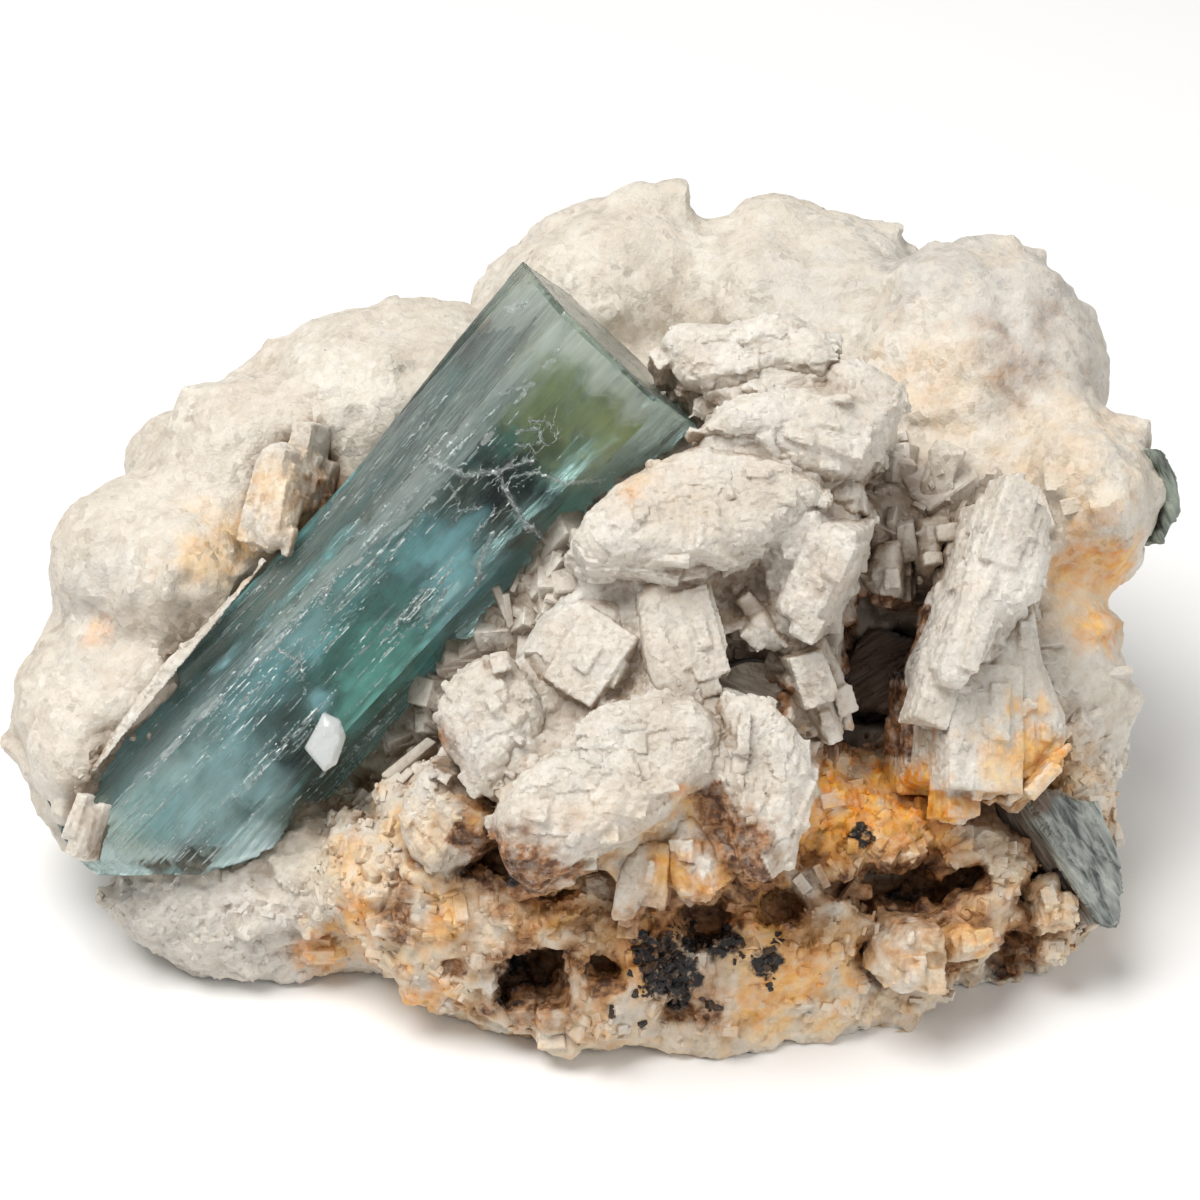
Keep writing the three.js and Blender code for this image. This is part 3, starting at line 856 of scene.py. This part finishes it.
druse_high = druse("druse_high", rock, cluster_axes(4.5), 800, (1.4, 5.8), (0.4, 2.4), 10, [PLATE, BRICK],
                   where=between, seed=62)
druse_fine = druse("druse_fine", rock, cluster_axes(4), 1200, (0.7, 2.6), (0.1, 0.9), 12,
                   [PLATE, BRICK] + GRAINS, where=between, seed=65)
druse_low = druse("druse_low", crust, cluster_axes(5), 1300, (0.5, 2.6), (0.05, 0.7), 12, CRISP + GRAINS * 2,
                  where=low_front, seed=63)
druse_left = druse("druse_left", crust, cluster_axes(3), 420, (0.5, 1.6), (0.02, 0.3), 14, GRAINS,
                   where=low_left, seed=66)
black_grains = druse("black_grains", crust, cluster_axes(2), 230, (0.28, 1.15), (0.1, 0.5), 20, GRAINS,
                     where=blackened, seed=64)
for pattern in set(BLANKS + CRISP + GRAINS):
    bpy.data.objects.remove(pattern)
s = Shader("black manganese crust")
rusty = s.ramp(s.noise(1.2, 3), 0.45, 0.65)
s.set(Base_Color=s.mix(rusty, rgb(0.014, 0.013, 0.013), rgb(0.10, 0.05, 0.022)),
      Roughness=s.ramp(s.noise(0.4, 3), 0.3, 0.7, 0.16, 0.5), Normal=s.bump(s.noise(0.3, 4), 0.2, 0.8))
finished(black_grains, "matrix", s.material, 30)

# ---- Aquamarine ----
# Its own frame: z along the prism, towards the tip, whose middle is the origin.
LENGTH, RADIUS, FACE_TURN = 64, 10.8, -24
TIP = (1.1, 22.3, -8.5)
SLOPE, NOD = 46.6, 7    # degrees: how it lies on the display side, and how far its tip leans back
# Its width at shares of its length from the tip.
TAPER = ((0.14, 0.953), (0.45, 0.901), (1, 0.91))
FOOT_BREAK, FOOT_FACING = (-40, -24.04, -7.84), (0, 0.978, 0.208)
UPRIGHT = Matrix(((1, 0, 0), (0, 0, 1), (0, -1, 0)))
PRISM_TURN = FRONT @ turned(SLOPE - 90, "Z") @ turned(NOD, "X") @ UPRIGHT
PRISM = Matrix.Translation(place(*TIP)) @ PRISM_TURN.to_4x4()
# Where the satin left face ends, along the prism and across it.
SATIN_EDGE = ((-62, -3.7), (-44, -3.5), (-29, -3.1), (-21, -1.8), (-10, -2.1), (0, -2.8))


def satin_edge(z):
    return np.interp(z, *zip(*SATIN_EDGE))


def laid(shader, turn, stretch):
    """Object coordinates laid along a turned frame, drawn out along each of its axes."""
    parts = [shader.node("VectorMath", {0: shader.place, 1: tuple(turn.col[k] / stretch[k])},
                         operation="DOT_PRODUCT").outputs["Value"] for k in range(3)]
    return shader.node("CombineXYZ", {0: parts[0], 1: parts[1], 2: parts[2]}).outputs[0]


def striped(shader, stretch):
    return laid(shader, PRISM_TURN, (1, 1, stretch))


def ring(piece, z, width):
    """Scales the ring of corners at z to its width."""
    alone(piece)
    for vert in piece.data.vertices:
        vert.select = abs(vert.co.z - z) < 1e-6
    bpy.ops.object.mode_set(mode="EDIT")
    bpy.ops.transform.resize(value=(width, width, 1), center_override=(0, 0, z))
    bpy.ops.object.mode_set(mode="OBJECT")


bpy.ops.mesh.primitive_cylinder_add(vertices=6, radius=RADIUS * MM, depth=LENGTH * MM,
                                    location=(0, 0, -LENGTH / 2 * MM),
                                    rotation=(0, 0, math.radians(FACE_TURN)))
prism = bpy.context.active_object
prism.name = "aquamarine_prism"
bpy.ops.object.transform_apply(location=True, rotation=True, scale=True)
for share, width in TAPER:
    z = -share * LENGTH * MM
    if share < 1:
        cut(prism, (0, 0, z), (0, 0, 1))
    ring(prism, z, width)
foot_at = PRISM.inverted() @ place(*FOOT_BREAK)
foot_normal = PRISM_TURN.inverted() @ FRONT @ Vector(FOOT_FACING)
cut(prism, foot_at, foot_normal, use_fill=True, clear_inner=True)
remeshed(prism, 0.235)
stepped(prism, Matrix.Identity(3), (cloud("growth", 3.2, 2), (1, 1, 14), 0.34),
        (cloud("striation", 0.55, 2), (1, 1, 45), 0.09),
        (cells("growth steps", 2.4, mode="POSITION"), (1, 1, 30), 0.10))
beryl = Shader("aquamarine")
fine_stripes = beryl.noise(0.20, 3, place=striped(beryl, 45))
broad_stripes = beryl.noise(1.4, 3, place=striped(beryl, 12))
rough = beryl.ramp(fine_stripes, 0.45, 0.8, 0.03, 0.22)
relief = beryl.plus(beryl.times(fine_stripes, 0.8), broad_stripes)
beryl.set(Base_Color=rgb(0.98, 1.0, 1.0), Roughness=rough, IOR=1.577, Transmission_Weight=1.0,
          Normal=beryl.bump(relief, 0.10, 0.9))
deep = beryl.node("VolumeAbsorption", {"Color": rgb(0.30, 0.78, 0.75), "Density": 27.0})
beryl.tree.links.new(deep.outputs[0], beryl.output.inputs["Volume"])


def under_face(across, along):
    """Whether a line from the viewer's side meets the prism there, and the place and the face's normal."""
    return prism.ray_cast(Vector((across, -20, along)) * MM, (0, 1, 0))[:3]


# Films sealed in the prism. Tones are linear red, green and blue.
# The lilac tone paints the left face's band: its frost with a painted reflection of the bright surroundings.
LILAC, WHITE, PALE = (0.86, 0.89, 0.86), (0.95, 0.98, 0.97), (0.88, 0.93, 0.84)
# The dark tone paints dark reflections inside the crystal.
OLIVE, UMBER, DARK_REFLECTION = (0.42, 0.46, 0.20), (0.55, 0.30, 0.12), (0.004, 0.018, 0.020)
TEAL, BLUE, MILK, LAKE = (0.27, 0.69, 0.61), (0.46, 0.86, 0.93), (0.64, 0.91, 0.94), (0.30, 0.70, 0.71)
# Each patch: across, along the prism, half width, half length in millimetres, tone, strength.
# The lilac patch along the left face's edge is part of that band: frost and painted reflection.
SKIN_PATCHES = (
    (-2.5, -1.5, 5, 2.2, PALE, 0.55), (3.5, -1.5, 5, 1.8, PALE, 0.55), (-8.5, -2.5, 2.4, 2.6, PALE, 0.5),
    (-9.6, -6, 0.7, 0.9, UMBER, 0.9), (-2, -60, 2.4, 1.6, OLIVE, 0.4), (7.8, -7, 1.6, 4, PALE, 0.35),
    (-3.4, -61.5, 4, 1.0, WHITE, 0.35), (-2.6, -26, 1.4, 24, LILAC, 0.2),
    (2.7, -39.5, 1.1, 1.5, BLUE, 0.75),
)
# The dark patches here paint dark reflections inside the crystal, where its faces mirror dark surroundings.
INNER_PATCHES = (
    (1.5, -6, 6, 5.0, OLIVE, 0.62), (5.8, -5.5, 3.2, 3.4, OLIVE, 0.75), (-1.8, -6.5, 2.4, 3.2, OLIVE, 0.7),
    (2.6, -10, 4.4, 2.4, OLIVE, 0.5), (1.2, -14.8, 4.4, 3.2, DARK_REFLECTION, 0.99),
    (4.8, -13.2, 3.6, 2.0, DARK_REFLECTION, 0.99), (5.0, -17, 2.2, 2.2, DARK_REFLECTION, 0.7), (2.6, -9.6, 1.6, 1.2, DARK_REFLECTION, 0.5),
    (1.8, -22.8, 3.4, 4.0, BLUE, 0.9), (5.2, -24.5, 2.0, 5, BLUE, 0.5), (-2.0, -31, 3.0, 9, LAKE, 0.6),
    (3.5, -33.5, 3.4, 6, TEAL, 0.7), (6.0, -38, 1.8, 5, TEAL, 0.6), (5.0, -45.6, 2.6, 2.6, DARK_REFLECTION, 0.75),
    (-1.5, -42, 3.8, 6, BLUE, 0.65), (0.5, -50.5, 5.5, 5, MILK, 0.62), (3.5, -54, 4, 4, MILK, 0.5),
    (-2.5, -57.5, 3.4, 4, LAKE, 0.4),
)
HEART_PATCHES = (
    (0, -3.5, 9, 6, PALE, 0.6), (0, -12, 9, 5, TEAL, 0.45), (2, -24, 8, 7, BLUE, 0.4),
    (0, -36, 9, 7, TEAL, 0.5), (0, -52, 9, 8, MILK, 0.75), (-6, -30, 4, 22, LAKE, 0.5),
)
# Each crack: its points across and along the prism, and its half width.
CRACKS = (
    (((-4.2, -17.3), (-2.6, -16.7), (-1.2, -16.2), (0.5, -14.1), (2.1, -11.2)), 0.17),
    (((0.5, -14.1), (2.4, -14.9), (4.8, -15.7), (6.4, -15.9), (8.6, -16.4)), 0.17),
    (((1.8, -13.6), (3.2, -11.7), (5.0, -11.2), (7.6, -8.6)), 0.10),
    (((-0.6, -10.4), (0.6, -9.0), (1.9, -9.6)), 0.08), (((0.2, -11.4), (1.0, -10.4), (2.2, -10.9)), 0.05),
    (((-0.4, -9.0), (0.9, -7.9), (2.6, -8.7)), 0.05), (((3.8, -18.2), (4.8, -21.0), (5.8, -22.6)), 0.14),
    (((-3.5, -20), (-3.0, -22.5), (-3.4, -25)), 0.14), (((-3.0, -38.6), (-0.6, -38.0), (1.6, -39.8)), 0.07),
    (((4.2, -24.8), (5.2, -28.6)), 0.08), (((-3.7, -9), (-2.2, -6.4)), 0.09),
    (((-3.6, -30.5), (-2.8, -33.0)), 0.14), (((-7.5, -2.2), (-8.4, -3.6)), 0.3),
    (((-1.8, -17.6), (0.6, -18.8), (1.8, -17.2)), 0.05), (((2.6, -16.4), (3.0, -19.6)), 0.05),
)


def film_grid(name, low, high, depth, cell):
    """A fine sheet in the prism's own frame, upright at one depth, from low to high across."""
    tall = LENGTH - 1.2
    bpy.ops.mesh.primitive_grid_add(x_subdivisions=int((high - low) / cell),
                                    y_subdivisions=int(tall / cell / 1.3), size=2 * MM)
    piece = bpy.context.active_object
    piece.name = name
    edit(piece, resize((high - low) / 2, tall / 2, 1),
         lambda: bpy.ops.transform.rotate(value=math.radians(-90), orient_axis="X",
                                          center_override=(0, 0, 0)),
         shift((low + high) / 2, depth, -tall / 2 - 0.6))
    return piece


def painted(piece, patches, rag):
    """Writes the attribute paint: soft patches of colour, with their cover as the fourth value."""
    at = points_of(piece) / MM
    ragged = clouded(at * (1, 1, 0.45), 1.8) + 0.6 * clouded(at * (1, 1, 0.5), 0.6, 5)
    tone, cover = np.zeros((len(at), 3)), np.zeros(len(at))
    for x, z, wide, long, colour, strength in patches:
        away = np.hypot((at[:, 0] - x) / wide, (at[:, 2] - z) / long)
        share = strength * np.clip(1.35 - away + rag * ragged * 0.8, 0, 1) ** 1.2
        tone = tone * (1 - share)[:, None] + np.array(colour) * share[:, None]
        cover = cover + share * (1 - cover)
    tone = tone / np.maximum(cover, 1e-4)[:, None]
    shaded(piece, "paint", [*tone.T, cover])
    return at, ragged


def sealed(piece, material):
    piece.data.transform(PRISM)
    piece.data.materials.clear()
    piece.data.materials.append(material)
    alone(piece)
    bpy.ops.object.shade_smooth()
    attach(piece, "root")


# Splinters and hollow growth tubes that run along the prism just under its faces, in short rows.
rng = random.Random(31)


def splinter_row(count, spread):
    """A row of splinters one behind the other, about the origin, to be copied."""
    row = []
    for _ in range(count):
        wide = rng.uniform(0.035, 0.10)
        long = rng.choice((0.08, 0.14, 0.25, 0.5, 1.1)) * rng.uniform(0.6, 1.3)
        at = (rng.gauss(0, 0.06), rng.uniform(-0.03, 0.26), rng.uniform(-spread, spread))
        row.append(edit(cube(1), resize(wide, wide, long), shift(*at)))
    return joined(row, "splinter row")


ROWS = [splinter_row(9, 2.6) for _ in range(5)] + [splinter_row(6, 1.2) for _ in range(3)] + [
    splinter_row(1, 0.1) for _ in range(2)]
splinters = []
for _ in range(96):
    across = rng.choice((rng.uniform(-9.2, -4.4), rng.gauss(-1.6, 1.2), rng.gauss(-3.2, 0.5),
                         rng.uniform(-3.8, 5.6), rng.gauss(3.2, 0.9), rng.uniform(5.8, 9.0)))
    z, last = rng.uniform(-24, -3) if across < 0 else rng.uniform(-40, -12), rng.uniform(-34, -58)
    while z > last:
        z -= rng.expovariate(1 / 4.2) + 0.4
        hit, spot, normal = under_face(across + rng.gauss(0, 0.05), z)
        if hit and z > -58.5 and noise.noise(Vector((across / 1.8, z / 8, 5))) > -0.12:
            inwards = Matrix((normal.cross((0, 0, 1)), -normal, (0, 0, 1))).transposed()
            row = rng.choice(ROWS[5:] if across < -4 else ROWS)
            splinters.append(copied(row, inwards, (1, 1, 1), spot))
for row in ROWS:
    bpy.data.objects.remove(row)
splinters = joined(splinters, "growth_splinters")
s = Shader("white splinters")
s.set(Base_Color=rgb(0.88, 0.95, 0.94), Roughness=0.5, Alpha=s.ramp(s.noise(0.5, 3), 0.38, 0.6, 0.25, 1.0))
sealed(splinters, s.material)

SLIVER = edit(cube(1), jitter(0.16, 2))
CRACK_DEPTH = 0.12


def chain(path, wide, wander):
    """Slivers end to end along a path under the prism's face, wandering off it by some millimetres."""
    links, before = [], None
    for (x0, z0), (x1, z1) in zip(path, path[1:]):
        length = math.hypot(x1 - x0, z1 - z0)
        for share in np.arange(0, 1, 0.22 / length):
            aside = wander * noise.noise(Vector((x0 + share * 2 * length, z0, 1))) + rng.gauss(0, 0.05)
            spot = (x0 + share * (x1 - x0) - aside * (z1 - z0) / length,
                    z0 + share * (z1 - z0) + aside * (x1 - x0) / length)
            if before:
                links.append((before, spot, wide * rng.expovariate(1.8) + 0.02))
            before = spot
    return links


def feathered(path, wide):
    """A crack with fine side branches."""
    links = chain(path, wide, 0.3)
    for (x, z), _, _ in links[:]:
        if rng.random() < 0.5:
            length = rng.choice((-1, 1)) * (rng.expovariate(1.8) + 0.15)
            end = (x + length * rng.gauss(0.1, 0.35), z + length)
            links += chain([(x, z), end], wide * 0.34, 0.08)
    return links


# The cracks are real; the white of their slivers paints the bright reflection off their inner surfaces.
cracks = []
for path, wide in CRACKS:
    for (x0, z0), (x1, z1), width in feathered(path, wide):
        hit, spot, _ = under_face((x0 + x1) / 2, (z0 + z1) / 2)
        if hit:
            lie = Matrix.Rotation(math.atan2(x1 - x0, z1 - z0), 3, "Y")
            size = (width, rng.uniform(0.5, 1.5) * CRACK_DEPTH, math.hypot(x1 - x0, z1 - z0) * 1.3 + 0.04)
            cracks.append(copied(SLIVER, lie, size, spot + Vector((0, rng.uniform(-0.02, 0.4), 0)) * MM))
# Slivers along the edge between the left face and the wide face: chips on that ridge, bright as a painted
# highlight along it.
for z in np.arange(-58, 0, 0.3):
    if noise.noise(Vector((z / 2.2, 3, 0))) > 0.08:
        across = satin_edge(z) + rng.gauss(0, 0.12)
        hit, spot, _ = under_face(across, z)
        size = (rng.uniform(0.05, 0.18), 0.08, rng.uniform(0.15, 0.8))
        cracks.append(copied(SLIVER, tilted(rng, 8), size, spot + Vector((0, 0.06, 0)) * MM))
bpy.data.objects.remove(SLIVER)
cracks = joined(cracks, "crack_veils_and_glints")
# White slivers: the cracks' painted reflection, and the ridge's chips with a painted highlight.
s = Shader("bright cracks")
s.set(Base_Color=rgb(0.93, 0.98, 0.97), Roughness=0.35,
      Alpha=s.ramp(s.noise(0.45, 4, 0.7), 0.40, 0.56, 0.08, 1.0))
sealed(cracks, s.material)


def cut_at_foot(piece, inside):
    """Cuts a film off some millimetres inside the prism's broken foot."""
    cut(piece, foot_at + Vector(foot_normal) * inside * MM, foot_normal, clear_inner=True)


# The skin film is laid against the faces from outside. What misses the prism goes, and the rest sinks in.
OUTSIDE, SUNK = -14, 0.45
skin = film_grid("skin_film", -9.3, 9.2, OUTSIDE, 0.15)
applied(skin, "SHRINKWRAP", target=prism, wrap_method="PROJECT", use_project_y=True, use_project_x=False,
        use_project_z=False, use_positive_direction=True, use_negative_direction=True, offset=0)
edit(skin, lambda: bpy.ops.mesh.select_all(action="DESELECT"))
for vert in skin.data.vertices:
    vert.select = vert.co.y < (OUTSIDE + 2) * MM
bpy.ops.object.mode_set(mode="EDIT")
bpy.ops.mesh.delete(type="VERT")
bpy.ops.object.mode_set(mode="OBJECT")
edit(skin, shift(0, SUNK, 0))
cut_at_foot(skin, 0.9)
at, ragged = painted(skin, SKIN_PATCHES, 0.7)
# left_face: the band of the left face, made lighter for its frost and as a painted reflection of the bright
# surroundings.
left_face = np.clip((satin_edge(at[:, 2]) - at[:, 0]) / 0.35, 0, 1) * np.clip(1.05 + at[:, 2] / 260, 0, 1)
left_face *= np.clip(0.92 + 0.25 * clouded(at * (1, 1, 0.15), 1.6, 21), 0.6, 1)
# veil: nearness to the cracks; the white about them paints their reflection.
veil = np.zeros(len(at))
for path, wide in CRACKS:
    for (x0, z0), (x1, z1) in zip(path, path[1:]):
        step, spot = np.array([x1 - x0, z1 - z0]), np.stack([at[:, 0] - x0, at[:, 2] - z0], 1)
        share = np.clip(spot @ step / (step @ step), 0, 1)
        away = np.linalg.norm(spot - share[:, None] * step, axis=1)
        veil = np.maximum(veil, np.clip(1 - away / (wide * 5), 0, 1))
# ridge: chips along that edge, with a painted highlight along it.
ridge = np.clip(1.4 - np.abs(at[:, 0] - satin_edge(at[:, 2]) + 0.12 * ragged) / 0.28, 0, 1)
ridge *= np.clip(1.8 * clouded(at * (0.3, 1, 1), 1.4, 3) + 0.25, 0, 1)
streaks = 0.35 + 0.5 * clouded(at * (1, 1, 0.12), 1.6, 9) + 0.35 * clouded(at * (1, 1, 0.3), 4, 2)
streaks = np.clip(streaks, 0, 1)
streaks *= np.clip((-at[:, 2] - 3) / 12, 0.25, 1)
shaded(skin, "marks", [streaks, np.clip(0.5 + 0.5 * clouded(at, 5, 4) - 0.2, 0, 1), ridge])
shaded(skin, "satin", [left_face, veil])

s = Shader("striated skin")
lines = s.ramp(s.noise(0.36, 2, 0.6, place=striped(s, 55)), 0.585, 0.63)
# silk: fine threads along the prism, bright as a painted sheen.
silk_and_sheen = s.ramp(s.noise(0.16, 2, 0.6, place=striped(s, 80)), 0.48, 0.66, 0.0, 0.35)
lines = s.larger(lines, silk_and_sheen)
dots = s.ramp(s.noise(0.35, 3, 0.7, place=striped(s, 4)), 0.40, 0.52)
streak = s.times(s.times(lines, dots), s.ramp(s.attribute("marks", 0), 0.15, 0.6))
motes = s.ramp(s.noise(0.24, 2), 0.66, 0.72)
motes = s.times(motes, s.attribute("marks", 1))
# ridge_chips_and_glint: white chips along that edge, with a painted highlight along it.
ridge_chips_and_glint = s.ramp(s.plus(s.times(s.attribute("marks", 2), 0.62), s.noise(0.26, 5, 0.8)), 0.84, 1.0)
# veils: white about the cracks, their painted reflection.
veils = s.ramp(s.plus(s.times(s.attribute("satin", 1), 0.5), s.noise(0.5, 6, 0.75)), 0.74, 0.95)
# broken: the ridge's chips and painted highlight, with the cracks' painted reflection.
broken = s.larger(ridge_chips_and_glint, veils)
white = s.larger(s.larger(s.times(streak, 0.85), s.times(motes, 0.7)), s.times(broken, 0.7))
threads = s.ramp(s.noise(0.2, 3, 0.7, place=striped(s, 30)), 0.35, 0.65, 0.36, 0.66)
# lilac: that band in the shader, frost with a painted reflection.
lilac = s.times(s.attribute("satin", 0), threads)
cloudy = s.ramp(s.noise(0.5, 4, 0.65, place=striped(s, 14)), 0.30, 0.70, 0.8, 1.15)
satin = s.times(s.attribute("paint", "Alpha"), cloudy, clamp=True)
tone = s.mix(s.times(lilac, 1.2, clamp=True), s.attribute("paint"), rgb(*LILAC))
s.set(Base_Color=s.mix(white, tone, rgb(*WHITE)), Roughness=0.45,
      Alpha=s.larger(white, s.larger(lilac, satin)))
sealed(skin, s.material)


def patchy(name):
    """A clouded film: its colour and cover come from its own painting, drawn out along the prism."""
    s = Shader(name)
    drawn = s.ramp(s.noise(0.7, 5, 0.62, place=striped(s, 6)), 0.28, 0.68, 0.5, 1.2)
    s.set(Base_Color=s.attribute("paint"), Roughness=0.6, Specular_IOR_Level=0.1,
          Alpha=s.times(s.attribute("paint", "Alpha"), drawn, clamp=True))
    return s.material


for name, low, high, depth, short, patches in (("inner_film", -6.0, 6.3, -5.9, 2.2, INNER_PATCHES),
                                               ("heart_film", -8.9, 8.2, -1.2, 1.2, HEART_PATCHES)):
    film = film_grid(name, low, high, depth, 0.3)
    displaced(film, cloud(name, 5, 2), 0.9)
    cut_at_foot(film, short)
    painted(film, patches, 0.6)
    sealed(film, patchy(name))

bpy.ops.mesh.primitive_circle_add(vertices=6, radius=(RADIUS - 0.5) * MM, fill_type="NGON",
                                  location=(0, 0, -0.22 * MM), rotation=(0, 0, math.radians(FACE_TURN)))
cap = bpy.context.active_object
cap.name = "tip_film"
bpy.ops.object.transform_apply(location=True, rotation=True, scale=True)
s = Shader("tip film")
s.set(Base_Color=s.mix(s.ramp(s.noise(1.2, 4), 0.4, 0.6), rgb(0.62, 0.52, 0.46), rgb(0.66, 0.68, 0.60)),
      Alpha=s.ramp(s.noise(0.8, 4, 0.65), 0.32, 0.62, 0.25, 0.75), Roughness=0.6)
sealed(cap, s.material)

prism.data.transform(PRISM)
finished(prism, "aquamarine", beryl.material, 30)

# ---- Quartz chip: a small doubly ended crystal lying on the prism's wide face ----
clear = Shader("clear quartz")
clear.set(Base_Color=rgb(0.97, 1, 1), IOR=1.54, Transmission_Weight=0.45,
          Roughness=clear.ramp(clear.noise(0.6, 3), 0.4, 0.7, 0.05, 0.3),
          Normal=clear.bump(clear.noise(0.5, 3), 0.2, 0.5))
chip = copy_of("quartz_chip", "quartz_shard")
edit(chip, lambda: bpy.ops.transform.resize(value=(0.86, 1.22, 1), orient_matrix=PRISM_TURN @ UPRIGHT,
                                            orient_type="LOCAL"),
     lambda: bpy.ops.mesh.bevel(offset=0.12 * MM, segments=1, affect="EDGES"))
finished(chip, "quartz_chip", clear.material, 24)

# ---- Mica: books of thin leaves ----
def leafy(name, turn, light, dark, rust=0.0):
    """Silky mica: light and dark streaks that flow along its leaves."""
    s = Shader(name)
    flow = laid(s, turn, (9, 1, 2.2))
    wavy = s.noise(0.55, 5, 0.6, place=flow, distortion=0.7)
    broad = s.noise(2.2, 3, place=laid(s, turn, (2.5, 1, 1)), distortion=0.5)
    colour = s.mix(s.ramp(s.plus(s.times(wavy, 0.6), s.times(broad, 0.4)), 0.40, 0.60),
                   rgb(*dark), rgb(*light))
    colour = s.mix(s.times(s.attribute("stain_and_shade", 1), rust, clamp=True), colour, rgb(0.20, 0.10, 0.05))
    s.set(Base_Color=colour, Roughness=s.ramp(wavy, 0.3, 0.7, 0.22, 0.5), Normal=s.bump(wavy, 0.30, 0.9),
          Specular_IOR_Level=0.6)
    return s.material


# Each: the turn of its leaves on the display side in degrees, nod, light tone, dark tone.
BOOKS = {
    "mica_book": (-58, 20, (0.46, 0.49, 0.45), (0.055, 0.062, 0.058)),
    "rim_mica": (-62, 0, (0.33, 0.37, 0.31), (0.06, 0.075, 0.06)),
    "cave_mica": (35, -25, (0.30, 0.29, 0.27), (0.016, 0.016, 0.017)),
}
books = []
for node, (turn, nod, light, dark) in BOOKS.items():
    leaves = FRONT @ turned(turn, "Z") @ turned(nod, "X")
    book = copy_of(node, node + "_leaves")
    remeshed(book, 0.22)
    stepped(book, leaves, (cells(node + " leaves", 0.9, mode="POSITION"), (12, 1, 3), 0.55),
            (cloud(node + " folds", 2.0, 2), (7, 1, 2), 1.0),
            (cloud(node + " edges", 0.35, 1), (14, 1, 3), 0.18))
    books.append((book, node, leafy(node + " mica", leaves, light, dark, 0.6)))

# A thin curved mica plate on edge between the crystals, its worn face framed by a dark rim.
ARC_AT, ARC_SIZE = (13.8, -8.2, -3.0), (3.9, 3.0)
bpy.ops.mesh.primitive_torus_add(major_segments=72, minor_segments=8, major_radius=1 * MM,
                                 minor_radius=0.055 * MM)
arc = bpy.context.active_object
arc.name = arc.data.name = "arc_mica_rim"
bpy.ops.mesh.primitive_circle_add(vertices=72, radius=1 * MM, fill_type="TRIFAN")
plate = edit(bpy.context.active_object, lambda: bpy.ops.mesh.subdivide(number_cuts=5))
plate.name = plate.data.name = "arc_mica_plate"
arc_turn = FRONT @ turned(-18, "Z") @ turned(12, "X")
for piece, tones in ((arc, ((0.10, 0.09, 0.085), (0.012, 0.012, 0.013))),
                     (plate, ((0.62, 0.54, 0.44), (0.34, 0.28, 0.22)))):
    edit(piece, resize(*ARC_SIZE, 4 if piece is arc else 1))
    displaced(piece, cloud("arc", 1.6, 3), 0.35 if piece is arc else 0.9)
    piece.data.transform(Matrix.Translation(place(*ARC_AT)) @ arc_turn.to_4x4())
    books.append((piece, "cave_mica", leafy(piece.name, arc_turn, *tones)))

# ---- Stains, and painted shade in the hollows, now that every neighbour stands ----
solids = [rock, crust, fused, druse_high, druse_fine, prism] + grown + [book for book, _, _ in books]
crowding = Crowding(solids)
for crystal, node in zip(grown, FELDSPAR_NODES):
    finished(marked(crystal, crowding, 0.32, 0.68, 0.25), node, ALBITE, 30)
for piece, material in ((rock, CRUST), (crust, CRUST), (fused, ALBITE), (druse_high, SMALL),
                        (druse_fine, SMALL), (druse_low, SMALL), (druse_left, SMALL)):
    finished(marked(piece, crowding, 0.36, 0.78), "matrix", material, 32)
for book, node, material in books:
    finished(marked(book, crowding, 0.34, 0.72), node, material, 30)
